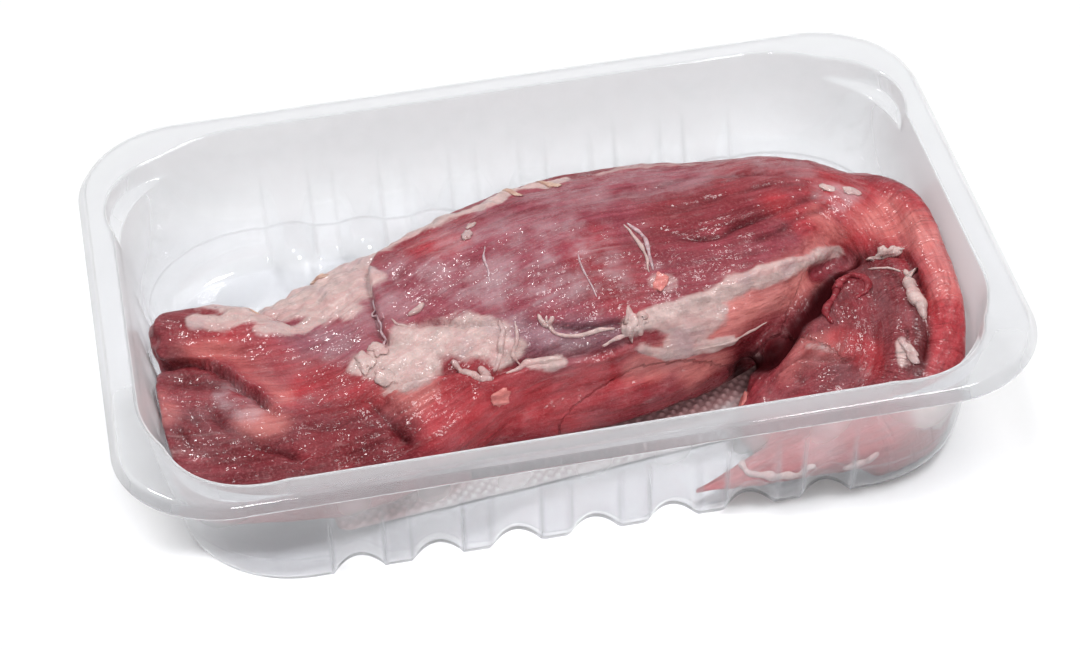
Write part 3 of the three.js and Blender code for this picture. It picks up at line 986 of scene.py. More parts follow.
# Creases are negative and ridges positive: height, half width, then the route on the surface.
CREASES = (
    (0.9, 1.8, ((-100, 2, 27), (-95, 0, 28), (-89, -2, 30), (-83, -4, 30))),
    (
        -2.6,
        1.5,
        ((-92, -23, 28), (-88, -32, 27), (-83, -36, 26), (-80, -40, 25), (-74, -43, 25), (-70, -46, 23)),
    ),
    (-1.4, 3.5, ((-99, -9, 26), (-92, -15, 28), (-84, -18, 28))),
    (1.3, 2.0, ((-103, -6, 24), (-103, -14, 24), (-102, -22, 25), (-99, -28, 26))),
    (-1.0, 1.6, ((-100, -25, 26), (-97, -35, 25), (-90, -41, 24), (-81, -46, 23))),
    (-1.0, 1.6, ((-97, -20, 27), (-93, -33, 26), (-86, -41, 25), (-78, -46, 24))),
    (-1.1, 1.7, ((-71, -48, 22), (-64, -47, 23), (-56, -46, 23), (-48, -44, 24))),
    (-1.1, 1.6, ((-68, -28, 28), (-60, -31, 28), (-53, -32, 28), (-48, -31, 28))),
    (-1.0, 1.5, ((-70, -36, 27), (-62, -38, 26), (-53, -39, 26), (-45, -40, 25))),
    (-2.8, 1.8, ((-52, -30, 28), (-47, -38, 26), (-44, -42, 24), (-41, -44, 21))),
    (-2.2, 1.5, ((30, 1, 40), (46, -2, 40), (53, 1, 40), (64, 4, 40), (72, 8, 39), (81, 14, 38))),
    (-2.0, 1.5, ((34, 12, 42), (43, 11, 41), (54, 13, 42), (65, 15, 41), (81, 16, 38))),
    (-1.6, 1.5, ((31, 20, 41), (45, 24, 41), (59, 22, 41), (75, 20, 40))),
    (-1.5, 1.4, ((55, -5, 38), (63, -2, 38), (71, 4, 37), (80, 7, 36))),
    (-0.7, 1.6, ((24, -9, 38), (38, -9, 38), (52, -8, 37), (63, -7, 35))),
    (-0.6, 2.0, ((-12, 22, 39), (9, 20, 40), (23, 20, 41), (36, 20, 41))),
    (1.3, 2.2, ((20, -23, 30), (32, -21, 32), (43, -18, 34), (54, -14, 34), (68, -8, 31), (80, 0, 25))),
    (-7.0, 4.0, ((49, -20, 8), (54, -29, 19), (61, -25, 24), (70, -18, 27), (80, -7, 27), (86, -9, 30))),
    (-3.0, 1.6, ((94, -16, 33), (95, -26, 33), (94, -36, 32), (93, -43, 29), (89, -51, 25))),
    (1.8, 1.1, ((72, -26, 26), (72, -20, 27), (76, -15, 29), (81, -13, 28), (82, -19, 28), (80, -22, 28))),
    (-1.8, 2.4, ((76, -21, 27), (78, -18, 28))),
    (-2.0, 1.5, ((88, -38, 30), (87, -43, 28), (85, -51, 24))),
    (-1.6, 1.5, ((60, -42, 19), (60, -39, 20), (62, -37, 22))),
    (-1.5, 1.5, ((85, -15, 29), (90, -19, 32), (91, -24, 32))),
)

# Lean meat by tint, and painted shade by the shadow tint: how much of it, then places on the surface with a
# radius.
LEAN = (
    (
        "mauve",
        0.9,
        (
            (-38, 5, 34, 12), (-28, 8, 37, 14), (-17, 7, 39, 16),
            (-4, 6, 40, 18), (8, 3, 40, 17), (19, 2, 40, 12),
        ),
    ),
    ("mauve", 0.8, ((-6, 28, 38, 8), (10, 25, 40, 8), (27, 26, 40, 8), (44, 26, 40, 6))),
    (
        "mauve",
        0.8,
        ((-38, -4, 33, 8), (-25, -8, 35, 8), (-12, -9, 36, 9), (3, -13, 36, 10), (12, -18, 34, 8)),
    ),
    ("mauve", 0.9, ((-68, -4, 30, 9), (-60, -4, 30, 9), (-52, -12, 30, 8), (-49, -8, 31, 7))),
    ("bright", 0.7, ((-28, 17, 37, 6), (-23, 14, 38, 5))),
    ("bright", 0.5, ((16, -3, 40, 8), (18, -9, 38, 9), (18, -15, 36, 7))),
    (
        "mauve",
        0.5,
        ((35, -12, 37, 12), (48, -10, 37, 12), (63, -5, 36, 10), (78, 2, 31, 10), (84, 3, 33, 8)),
    ),
    (
        "bright",
        0.9,
        ((84, 12, 38, 9), (92, -1, 34, 10), (99, -3, 37, 10), (104, -13, 36, 10), (104, -29, 35, 9)),
    ),
    ("bright", 0.9, ((104, -29, 35, 9), (102, -40, 30, 9), (97, -47, 25, 9), (100, -40, 10, 12))),
    ("salmon", 0.5, ((88, 3, 38, 6), (99, -6, 38, 5), (103, -18, 37, 5), (103, -30, 35, 5))),
    (
        "bright",
        0.9,
        ((-36, -34, 27, 7), (-23, -34, 24, 8), (-7, -30, 19, 8), (7, -29, 19, 8), (20, -27, 20, 6)),
    ),
    ("bright", 0.7, ((-35, -42, 22, 6), (-18, -33, 14, 6), (-2, -32, 14, 6))),
    ("salmon", 0.7, ((-45, -33, 28, 4), (-43, -32, 28, 5), (-37, -31, 28, 4))),
    ("salmon", 0.8, ((20, -27, 21, 4), (32, -26, 21, 5), (36, -25, 14, 4), (41, -24, 16, 4))),
    ("salmon", 0.9, ((41, -23, 28, 5), (50, -20, 30, 6), (60, -16, 29, 6), (69, -10, 28, 4))),
    ("deep", 0.8, ((51, -22, 16, 5), (58, -23, 22, 5), (64, -19, 25, 5))),
    (
        "bright",
        0.8,
        ((-93, 1, 30, 6), (-83, -1, 31, 7), (-77, -8, 29, 7), (-73, -17, 29, 5), (-70, -24, 29, 5)),
    ),
    (
        "salmon",
        0.6,
        ((-97, 0, 27, 2.5), (-89, -3, 29, 2.5), (-82, -6, 29, 3), (-76, -16, 29, 3), (-72, -25, 28, 3)),
    ),
    ("deep", 0.6, ((-100, 9, 30, 7), (-90, 5, 31, 6), (-97, 3, 29, 6))),
    ("deep", 0.8, ((-100, -1, 24, 6), (-99, -9, 26, 5), (-102, -4, 24, 5))),
    ("deep", 0.7, ((-95, -11, 27, 6), (-88, -15, 28, 4))),
    (
        "deep",
        0.9,
        ((-94, -31, 26, 10), (-83, -41, 25, 10), (-71, -44, 24, 10), (-60, -42, 25, 10), (-52, -38, 26, 8)),
    ),
    ("bright", 0.5, ((-67, -19, 29, 7), (-60, -25, 29, 8), (-52, -27, 29, 7))),
    ("bright", 0.6, ((-65, -43, 25, 5), (-60, -45, 24, 5))),
    ("salmon", 0.6, ((-80, -32, 27, 4), (-76, -34, 27, 4))),
    ("salmon", 0.5, ((-103, -14, 24, 2.5), (-101, -24, 25, 2.5))),
    (
        "deep",
        0.6,
        ((70, -32, 24, 9), (80, -32, 24, 9), (83, -42, 26, 8), (76, -41, 20, 7), (65, -41, 20, 6)),
    ),
    ("deep", 0.8, ((72, -29, 26, 5), (71, -19, 27, 5), (86, -11, 30, 5), (89, -29, 31, 4))),
    ("salmon", 0.35, ((61, -33, 23, 5), (69, -34, 24, 4), (57, -36, 21, 4))),
    # Painted shade in the gap between the muscles.
    (
        "shadow",
        0.95,
        ((49, -19, 5, 3), (53, -28, 17, 4), (60, -26, 22, 4), (68, -20, 25, 4), (77, -10, 27, 3)),
    ),
    # Painted shade along the deep crease beside the rope.
    ("shadow", 0.7, ((92, -31, 31, 1.5), (92, -41, 29, 2), (88, -51, 25, 2))),
    ("bright", 0.8, ((71, 4, 38, 5), (76, 2, 34, 5), (81, 1, 30, 4), (66, 7, 40, 4), (85, -3, 30, 3))),
    ("salmon", 0.6, ((76, 5, 37, 3), (80, 2, 31, 3), (56, -17, 30, 5), (63, -15, 27, 4), (49, -19, 31, 4))),
    ("salmon", 0.4, ((94, 3, 35, 4), (96, -4, 35, 5), (99, -12, 37, 5))),
    ("deep", 0.5, ((14, -7, 38, 6), (17, -13, 36, 5), (6, -11, 37, 4), (45, 9, 41, 7), (56, 3, 40, 6))),
    ("muscle", 0.7, ((-78, -7, 30, 5), (-75, -12, 29, 5), (-72, -19, 29, 4))),
    ("deep", 0.8, ((-66, -41, 25, 6), (-59, -44, 25, 6), (-52, -46, 23, 6), (-45, -43, 23, 5))),
    ("bright", 0.6, ((73, -33, 24, 4), (77, -36, 23, 4), (80, -41, 21, 4))),
    ("plum", 0.45, ((-66, -3, 29, 5), (-60, -7, 29, 5), (-55, -10, 30, 5))),
    ("plum", 1.0, ((-10, -22, 31, 6), (-2, -23, 30, 6), (5, -23, 30, 5), (13, -23, 30, 4))),
    ("bright", 0.9, ((28, -61, 6, 6), (36, -61, 8, 7), (46, -53, 9, 8), (55, -60, 13, 8))),
    ("bright", 0.9, ((68, -60, 16, 8), (77, -63, 17, 8), (89, -61, 11, 7))),
)

# Fat: how much, then places on the surface with a radius.
FAT = (
    (
        1.0,
        (
            (-91, 7, 31, 3), (-84, 4, 31, 4), (-74, 8, 30, 6),
            (-63, 15, 27, 8), (-53, 11, 30, 9), (-47, 10, 32, 6),
        ),
    ),
    (1.0, ((-80, 14, 26, 8), (-65, 20, 24, 10), (-50, 22, 27, 9))),
    (0.8, ((-63, 10, 27, 6), (-53, 3, 31, 5), (-74, -1, 31, 3))),
    (
        0.9,
        (
            (-43, 21, 30, 4), (-33, 28, 31, 3), (-22, 28, 35, 3),
            (-8, 30, 37, 2.5), (1, 36, 35, 3), (12, 36, 36, 2.5),
        ),
    ),
    (0.5, ((23, 35, 37, 2), (35, 38, 36, 2.5), (48, 33, 37, 1.5))),
    (1.0, ((-38, -18, 31, 7), (-32, -18, 32, 7), (-24, -19, 32, 7), (-16, -21, 31, 5))),
    (1.0, ((-42, -26, 29, 5), (-35, -24, 30, 6), (-44, -22, 30, 4))),
    (0.9, ((-12, -24, 30, 4), (-16, -26, 29, 3))),
    (0.8, ((-51, -20, 30, 4), (-48, -23, 30, 4), (-46, -18, 31, 3))),
    (
        1.0,
        (
            (20, -22, 31, 3), (32, -21, 31, 3.5), (43, -18, 33, 3),
            (53, -15, 34, 2.5), (65, -10, 32, 2.5), (80, 1, 26, 2),
        ),
    ),
    (0.9, ((34, -25, 25, 3.5), (30, -25, 24, 3), (37, -23, 28, 4), (43, -21, 30, 3))),
    (0.9, ((21, -26, 26, 1.5), (28, -26, 22, 2), (37, -25, 22, 2), (45, -24, 22, 1.5))),
    (0.8, ((0, -27, 27, 2), (-8, -27, 27, 2), (-4, -27, 27, 2))),
    (0.45, ((64, -33, 23, 1.5), (70, -35, 23, 2))),
    (0.8, ((86, -43, 28, 2), (85, -47, 26, 1.5))),
    (0.9, ((87, -61, 17, 4), (92, -59, 17, 4))),
    (0.5, ((28, -13, 37, 2.5), (31, -14, 36, 2.5))),
)

# Silverskin and membrane: how much, then places on the surface with a radius.
SILVERSKIN = (
    (0.75, ((-40, 2, 34, 10), (-25, 5, 37, 13), (-8, 2, 39, 15), (6, 0, 39, 14), (12, -8, 37, 12))),
    (0.55, ((-20, 20, 38, 8), (0, 24, 39, 10), (25, 26, 40, 10), (50, 26, 40, 7), (75, 22, 39, 5))),
    (1.0, ((0, 0, 40, 7), (8, -3, 40, 7), (2, -10, 37, 7), (-9, -5, 38, 6), (-17, -5, 36, 6))),
    (0.9, ((-86, -20, 28, 4), (-83, -24, 28, 5), (-81, -28, 28, 4))),
    (0.5, ((-58, -2, 30, 5), (-50, -6, 31, 6), (-52, -14, 30, 6), (-58, -16, 30, 5))),
    (1.0, ((81, 12, 38, 5), (86, 11, 37, 5), (83, 8, 36, 3))),
    (0.6, ((-10, -22, 31, 5), (-2, -23, 30, 5), (5, -24, 29, 4), (13, -23, 30, 3))),
    (1.0, ((24, 5, 41, 1.5), (27, -1, 40, 1.5), (28, -8, 39, 2))),
)


def joined(surfaces):
    """Points and faces of several surfaces as one."""
    points, faces, start = [], [], 0
    for part, part_faces in surfaces:
        points.append(part)
        faces += [[start + i for i in face] for face in part_faces]
        start += len(part)
    return np.concatenate(points), faces


def joined_lobes():
    """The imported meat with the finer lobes, as one overlapping mesh object."""
    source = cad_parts["tenderloin"].data
    packed = np.array([v.co[:] for v in source.vertices]) / MM
    surfaces = [(packed, [list(p.vertices) for p in source.polygons])]
    surfaces += [lobe_arrays(posts) for posts in MEAT_LOBES.values()]
    return object_from("meat_lobes", *joined(surfaces), None)


def evaluated_copy(source):
    """A new mesh with the source's modifiers applied; the source goes away."""
    graph = bpy.context.evaluated_depsgraph_get()
    mesh = bpy.data.meshes.new_from_object(source.evaluated_get(graph))
    bpy.data.objects.remove(source)
    return mesh


class Skin:
    """The meat's surface as arrays, in millimetres, that relief and colour are worked into."""

    def __init__(self, mesh):
        self.mesh = mesh
        self.read()
        edges = np.zeros(len(mesh.edges) * 2, dtype=np.int64)
        mesh.edges.foreach_get("vertices", edges)
        self.edges = edges.reshape(-1, 2)
        self.valence = np.bincount(edges, minlength=len(self.points)).astype(float)
        # Painted shade of creases and folds at every point, from 0 to 0.9.
        self.shade = np.zeros(len(self.points))

    def read(self):
        flat = np.zeros(len(self.mesh.vertices) * 3)
        self.mesh.vertices.foreach_get("co", flat)
        self.points = flat.reshape(-1, 3) / MM
        self.read_normals()

    def write(self):
        self.mesh.vertices.foreach_set("co", (self.points * MM).ravel())
        self.mesh.update()
        self.read_normals()

    def read_normals(self):
        flat = np.zeros(len(self.mesh.vertices) * 3)
        self.mesh.vertices.foreach_get("normal", flat)
        self.normals = flat.reshape(-1, 3)

    def average(self, values):
        """Mean of each point's neighbours."""
        a, b = self.edges.T
        columns = []
        for column in values.reshape(len(values), -1).T:
            total = np.bincount(a, column[b], len(values)) + np.bincount(b, column[a], len(values))
            columns.append(total / self.valence)
        return np.stack(columns, axis=1).reshape(values.shape)

    def smooth(self, passes, share=0.5):
        """Moves every point part of the way to its neighbours, several times."""
        for _ in range(passes):
            self.points += (self.average(self.points) - self.points) * share

    def push(self, height):
        """Raises every point by its own height."""
        self.points += self.normals * np.asarray(height)[:, None]

    def near(self, route, reach):
        """Indices of the points that may lie within reach of a route."""
        low, high = route[:, :3].min(axis=0) - reach, route[:, :3].max(axis=0) + reach
        return np.nonzero(np.all((self.points > low) & (self.points < high), axis=1))[0]

    def measure(self, chosen, route):
        """Side-signed distance to a route, the share of its length, and its other columns there."""
        points, normals = self.points[chosen], self.normals[chosen]
        best = np.full(len(chosen), np.inf)
        signed, share = np.zeros(len(chosen)), np.zeros(len(chosen))
        extra = np.zeros((len(chosen), route.shape[1] - 3))
        for index, (start, end) in enumerate(zip(route[:-1], route[1:])):
            step = end[:3] - start[:3]
            t = np.clip(((points - start[:3]) @ step) / (step @ step), 0.0, 1.0)
            away = points - start[:3] - t[:, None] * step
            gap = np.linalg.norm(away, axis=1)
            closer = gap < best
            side = (np.cross(normals, step) * away).sum(axis=1)
            best = np.where(closer, gap, best)
            signed = np.where(closer, np.where(side < 0, -gap, gap), signed)
            share = np.where(closer, (index + t) / (len(route) - 1), share)
            mixed = start[3:] + t[:, None] * (end[3:] - start[3:])
            extra = np.where(closer[:, None], mixed, extra)
        return signed, share, extra

    def fold(self, rise, fall, reach, route):
        """Lays one side of a route over the other."""
        route = catmull(route, np.linspace(0, 1, 4 * len(route)))
        chosen = self.near(route, reach * 2.5)
        signed, share, _ = self.measure(chosen, route)
        signed = signed + 0.8 * noise(self.points[chosen], 5.0, 21)
        over = rise * np.exp(-np.abs(signed / reach) ** 1.6)
        under = -fall * np.exp(-((signed / (0.45 * reach)) ** 2))
        ends = smooth_step(0, 0.12, share) * smooth_step(0, 0.12, 1 - share)
        self.raise_by(chosen, ends * (under + (over - under) * smooth_step(-0.7, 0.5, signed)))
        # Painted shade just under the side that is laid over.
        self.darken(chosen, 0.15 * fall * ends * np.exp(-(((signed + 0.9) / 1.0) ** 2)))

    def crease(self, height, width, route):
        """Cuts a groove, with painted shade along it, or lifts a ridge along a route."""
        route = catmull(route, np.linspace(0, 1, 4 * len(route)))
        chosen = self.near(route, width * 3)
        signed, share, _ = self.measure(chosen, route)
        width = width * (1 + 0.35 * noise(self.points[chosen], 6.0, 31))
        ends = 0.25 + 0.75 * smooth_step(0, 0.15, share) * smooth_step(0, 0.15, 1 - share)
        ends *= 0.75 + 0.5 * noise(self.points[chosen], 9.0, 37)
        away = np.abs(signed) / width
        self.raise_by(chosen, ends * height * np.exp(-(away**2) if height > 0 else -1.3 * away))
        # Painted shade along a groove. A ridge adds none.
        self.darken(chosen, -0.3 * height * ends * np.exp(-3.0 * away**2))

    def darken(self, chosen, amount):
        """Paints shade onto chosen points, where deep creases and folds fall into shadow."""
        self.shade[chosen] = np.clip(np.maximum(self.shade[chosen], amount), 0.0, 0.9)

    def raise_by(self, chosen, height):
        """Raises chosen points along their normals."""
        self.points[chosen] += self.normals[chosen] * height[:, None]

    def patch(self, places, inner=0.5, outer=1.4):
        """Weight from 0 to 1 of a ragged patch round places of (x, y, z, radius)."""
        places = np.asarray(places, dtype=float)
        weight = np.zeros(len(self.points))
        reach = places[:, 3].max() * (outer + 0.6) + 1
        chosen = self.near(places, reach)
        signed, _, extra = self.measure(chosen, places)
        radius = extra[:, 0]
        ragged = 0.7 * radius * fractal(self.points[chosen], 8.0, 41, 4)
        away = np.abs(signed) + ragged
        weight[chosen] = 1 - smooth_step(inner, outer, away / radius)
        return weight


def route_coordinates(points, route, samples=240, batch=20000):
    """Distance along the route and round it, for every point."""
    path = catmull(np.asarray(route, dtype=float), np.linspace(0, 1, samples))
    run = np.concatenate(((0,), np.cumsum(np.linalg.norm(np.diff(path, axis=0), axis=1))))
    nearest = np.zeros(len(points), dtype=int)
    for start in range(0, len(points), batch):
        part = points[start : start + batch]
        gap = ((part[:, None] - path[None]) ** 2).sum(axis=2)
        nearest[start : start + batch] = gap.argmin(axis=1)
    tangent = np.gradient(path, axis=0)
    tangent /= np.linalg.norm(tangent, axis=1)[:, None]
    away = points - path[nearest]
    along = run[nearest] + (away * tangent[nearest]).sum(axis=1)
    across = np.stack((tangent[:, 1], -tangent[:, 0], np.zeros(len(path))), axis=1)[nearest]
    side = (away * across).sum(axis=1)
    return along, side, away[:, 2]


def store_finish(mesh, tint, cover, grain):
    """Keeps the colour, the cover and the grain of a surface on its points."""
    for name, values in (("tint", tint), ("cover", cover)):
        attribute = mesh.color_attributes.new(name, "FLOAT_COLOR", "POINT")
        flat = np.column_stack((values, np.ones(len(values)))).astype(np.float32)
        attribute.data.foreach_set("color", flat.ravel())
    vector = mesh.attributes.new("grain", "FLOAT_VECTOR", "POINT")
    vector.data.foreach_set("vector", grain.astype(np.float32).ravel())


class MEATTRAY_OT_meat(bpy.types.Operator):
    """Build the folded tenderloin"""

    bl_idname = "meat_tray.build_meat"
    bl_label = "Build meat"

    LEAST_POINTS = 1000

    def execute(self, context):
        sizes = settings().meat
        lobes = joined_lobes()
        remesh = lobes.modifiers.new("join", "REMESH")
        remesh.mode = "VOXEL"
        remesh.voxel_size = sizes.voxel * (1.0 if FINE else 1.6)
        mesh = evaluated_copy(lobes)
        mesh.name = "tenderloin_meat"
        skin = Skin(mesh)
        if len(skin.points) < self.LEAST_POINTS:
            raise RuntimeError("the meat's lobes did not join")
        skin.smooth(sizes.smoothing)
        skin.write()
        grain = self.grain(skin)
        cover = self.cover(skin)
        self.sculpt(skin, grain, cover)
        # Fat and silverskin fade out where shade is painted, so the painted shade stays dark.
        cover[:, :2] *= 1 - smooth_step(0.25, 0.75, skin.shade)[:, None]
        store_finish(mesh, self.tint(skin), cover, grain * MM)
        mesh.shade_smooth()
        mesh.materials.clear()
        mesh.materials.append(raw_meat())
        piece = bpy.data.objects.new("tenderloin_meat", mesh)
        context.scene.collection.objects.link(piece)
        finish_piece(piece, "raw_meat", "tenderloin")
        return {"FINISHED"}

    def grain(self, skin):
        """Distances along, across and above the muscle's own route."""
        return np.stack(route_coordinates(skin.points, MUSCLE_ROUTE), axis=1)

    def cover(self, skin):
        """Fat, silverskin and rope shares of every point."""
        fat = np.zeros(len(skin.points))
        silver = np.clip(0.15 + 0.35 * fractal(skin.points, 22.0, 3), 0, 1)
        for amount, places in FAT:
            fat = np.maximum(fat, amount * skin.patch(places))
        for amount, places in SILVERSKIN:
            silver = np.maximum(silver, amount * skin.patch(places))
        x, y = skin.points[:, 0], skin.points[:, 1]
        rope = smooth_step(86, 95, x - 0.25 * y)
        return np.stack((fat, silver, rope), axis=1)

    def sculpt(self, skin, grain, cover):
        """Works folds, creases, fibres and lumps of fat into the surface, and paints shade into folds and
        creases.
        """
        along, across, up = grain.T
        bundles = fractal(np.stack((along / 5, across, up), axis=1), 4.0, 7, 3)
        skin.push(0.5 * bundles * (1 - cover[:, 0]) + 0.8 * fractal(skin.points, 16.0, 9, 2))
        for fold in FOLDS:
            skin.fold(*fold)
        for crease in CREASES:
            skin.crease(*crease)
        lumps = fractal(skin.points, 4.2, 11, 3)
        skin.push(cover[:, 0] * (0.7 + 1.5 * lumps) + 0.16 * noise(skin.points, 2.4, 13))
        skin.smooth(1, 0.3)
        skin.points[:] = kept_in_tray(skin.points)
        skin.write()

    def tint(self, skin):
        """Colour of the lean meat at every point, with the painted shade of creases and folds mixed in
        towards the shadow colour.
        """
        colours = settings().colours
        tint = np.tile(np.array(colours.muscle), (len(skin.points), 1))
        for name, amount, places in LEAN:
            share = amount * skin.patch(places, 0.3, 1.7)[:, None]
            tint = tint * (1 - share) + np.array(getattr(colours, name)) * share
        shade = skin.shade[:, None]
        return tint * (1 - shade) + np.array(colours.shadow) * shade


# ---------------------------------------------------------------- loose fat and membrane

# Strands and thin flaps: colour, radius, then the route on the meat.
STRANDS = (
    ("fat", 0.55, ((-2, -17, 34), (-1, -20, 32), (1, -22, 31), (6, -23, 31), (11, -22, 31), (15, -22, 31))),
    ("fat", 0.6, ((11, -25, 28), (16, -24, 29), (22, -22, 30), (24, -22, 31))),
    ("fat", 0.6, ((-4, -16, 34), (-2, -19, 33), (0, -18, 34))),
    (
        "fat",
        1.1,
        ((-28, -24, 30), (-26, -28, 28), (-23, -30, 26), (-20, -31, 26), (-20, -29, 27), (-21, -27, 29)),
    ),
    ("fat", 0.7, ((-14, -16, 34), (-14, -21, 31), (-16, -26, 29), (-18, -28, 27))),
    ("fat", 0.5, ((-10, -17, 34), (-10, -21, 32), (-12, -25, 30), (-11, -27, 28))),
    ("fat", 0.9, ((0, -27, 27), (-6, -27, 27), (-11, -27, 27), (-15, -29, 26))),
    ("silverskin", 0.3, ((-13, 9, 40), (-14, 5, 39), (-14, 0, 38), (-14, -4, 37))),
    ("silverskin", 0.25, ((10, -1, 40), (10, -5, 39), (11, -10, 38), (12, -15, 36))),
    ("fat", 0.4, ((24, 7, 41), (26, 0, 40), (27, -5, 39), (27, -10, 38))),
    ("silverskin", 0.5, ((25, 7, 41), (28, 1, 40), (28, -4, 39), (28, -10, 38))),
    ("fat", 0.8, ((-36, -8, 33), (-34, -7, 34), (-32, -5, 34))),
    ("fat", 0.3, ((-41, -8, 32), (-40, -11, 32), (-38, -13, 32))),
    ("silverskin", 0.4, ((-45, 3, 32), (-45, -5, 32), (-44, -12, 32), (-44, -16, 31))),
    ("fat", 1.5, ((93, -19, 33), (93, -26, 33), (94, -32, 32), (93, -37, 31))),
    ("fat", 0.3, ((85, -12, 29), (89, -16, 32), (92, -19, 33))),
    ("fat", 0.9, ((21, -24, 29), (22, -21, 32), (24, -21, 32))),
    ("fat", 0.9, ((41, -55, 8), (41, -60, 9), (46, -63, 9), (52, -64, 9), (55, -64, 10), (58, -64, 11))),
    ("fat", 0.3, ((36, -25, 22), (42, -25, 22), (49, -23, 22), (56, -20, 23))),
    ("fat", 1.1, ((65, -64, 9), (69, -65, 10), (74, -65, 12))),
    (
        "muscle",
        1.0,
        ((72, -27, 26), (71, -21, 27), (75, -15, 29), (81, -13, 28), (83, -18, 28), (79, -22, 28)),
    ),
)

# Flat lumps: colour, length, width, thickness, turn in degrees, then places on the meat.
LUMPS = (
    ("fat", 4.2, 2.6, 1.6, 70, ((-17, 16, 39),)),
    ("fat", 3.4, 1.2, 1.0, 20, ((-15, 20, 38),)),
    ("fat", 9.5, 4.2, 1.6, 10, ((91, -11, 32),)),
    ("fat", 3.4, 7.0, 1.2, 0, ((87, -45, 27),)),
    ("salmon", 6.5, 4.5, 1.4, 0, ((-18, -32, 23),)),
    ("salmon", 5.5, 3.6, 1.0, 30, ((29, -13, 36),)),
    ("fat", 7.5, 5.5, 1.4, 20, ((20, -22, 30),)),
    ("fat", 6.5, 4.5, 1.2, 40, ((-50, -20, 30), (-46, -17, 31), (-45, -26, 29))),
    ("fat", 4.5, 2.6, 0.8, 60, ((81, 14, 38), (87, 12, 37))),
    ("cream", 9.0, 1.8, 0.8, 8, ((-2, 34, 37), (9, 35, 37))),
    ("cream", 7.0, 2.6, 0.9, 20, ((-57, 23, 26), (-74, 12, 29))),
    ("salmon", 5.0, 3.0, 1.6, 50, ((48, -34, 9),)),
)


def piece_surface(arrays, name):
    """Points, faces, tint and cover of a loose piece of the named colour."""
    points, faces = arrays
    count = len(points)
    cover = (0.9 if name == "fat" else 0.0, 0.0, 0.0)
    return points, faces, np.tile(getattr(settings().colours, name), (count, 1)), np.tile(cover, (count, 1))


def on_skin(tree, place):
    """Nearest place on the meat and its outward direction, in millimetres."""
    found, normal, _, _ = tree.find_nearest(Vector(place) * MM)
    return np.array(found) / MM, np.array(normal)


def strand_arrays(tree, radius, route, seed, sides=10):
    """An uneven strand lying on the meat."""
    route = np.asarray(route, dtype=float)
    span = np.linalg.norm(np.diff(route, axis=0), axis=1).sum()
    t = np.linspace(0, 1, max(8, int(span / 0.45)))
    path = catmull(route, t)
    path += 0.7 * radius * np.stack([noise(path + 50 * axis, 3.0, seed + axis) for axis in range(3)], axis=1)
    placed = [on_skin(tree, place) for place in path]
    normals = np.array([normal for _, normal in placed])
    thick = radius * (1 + 0.45 * noise(path, 2.2, seed + 5)) * (0.25 + 0.75 * np.sin(np.pi * t) ** 0.4)
    centre = np.array([place for place, _ in placed]) + normals * (0.35 * thick)[:, None]
    tangent = np.gradient(centre, axis=0)
    across = np.cross(tangent, normals)
    across /= np.linalg.norm(across, axis=1)[:, None]
    angle = np.arange(sides) * 2 * np.pi / sides
    out = np.sin(angle)[None, :, None] * normals[:, None] * thick[:, None, None]
    side = np.cos(angle)[None, :, None] * across[:, None] * thick[:, None, None] * 1.15
    return loft_arrays(centre[:, None] + side + out)


def lump_arrays(tree, size, turn, place, seed, rings=16, sides=24):
    """A flat, ragged lump lying on the meat."""
    centre, normal = on_skin(tree, place)
    lean_x = np.array((math.cos(turn), math.sin(turn), 0.0))
    lean_x -= normal * (lean_x @ normal)
    lean_x /= np.linalg.norm(lean_x)
    lean_y = np.cross(normal, lean_x)
    polar = np.linspace(0.12, np.pi - 0.12, rings)
    angle = np.arange(sides) * 2 * np.pi / sides
    ball = np.stack(
        (
            np.sin(polar)[:, None] * np.cos(angle)[None],
            np.sin(polar)[:, None] * np.sin(angle)[None],
            np.repeat(np.cos(polar)[:, None], sides, axis=1),
        ),
        axis=-1,
    )
    flat = ball.reshape(-1, 3)
    swell = 1 + 0.75 * fractal(flat * np.array((3, 3, 1)) + np.array(place), 1.7, seed, 4)
    flat = flat * swell[:, None] * np.array(size) / 2
    shaped = flat[:, :1] * lean_x + flat[:, 1:2] * lean_y + flat[:, 2:] * normal
    wrapped = []
    for point in centre + shaped:
        found, out = on_skin(tree, point)
        lift = (point - centre) @ normal
        wrapped.append(found + out * (lift + 0.15 * size[2]))
    return loft_arrays(np.array(wrapped).reshape(rings, sides, 3))


class MEATTRAY_OT_scraps(bpy.types.Operator):
    """Lay the strands of membrane and the lumps of fat on the meat"""

    bl_idname = "meat_tray.build_scraps"
    bl_label = "Build fat and membrane"

    def execute(self, context):
        meat = bpy.data.objects.get("tenderloin_meat")
        if meat is None:
            raise RuntimeError("build the meat first")
        mesh = meat.data
        tree = search_tree(mesh)
        surfaces = []
        for index, (name, radius, route) in enumerate(STRANDS):
            arrays = strand_arrays(tree, radius, route, 100 + index)
            surfaces.append(piece_surface(arrays, name))
        self.add("membrane_strands", surfaces, mesh.materials[0])
        surfaces = []
        for name, *size, turn, places in LUMPS:
            for place in places:
                seed = 200 + len(surfaces)
                arrays = lump_arrays(tree, size, math.radians(turn + 9 * len(surfaces)), place, seed)
                surfaces.append(piece_surface(arrays, name))
        self.add("fat_lumps", surfaces, mesh.materials[0])
        return {"FINISHED"}

    def add(self, name, surfaces, material):
        """One object of many loose surfaces."""
        points, faces = joined([surface[:2] for surface in surfaces])
        tint, cover = (np.concatenate([surface[column] for surface in surfaces]) for column in (2, 3))
        piece = object_from(name, points, faces, material)
        store_finish(piece.data, tint, cover, points * MM)
        finish_piece(piece, "raw_meat")


# ---------------------------------------------------------------- the stage


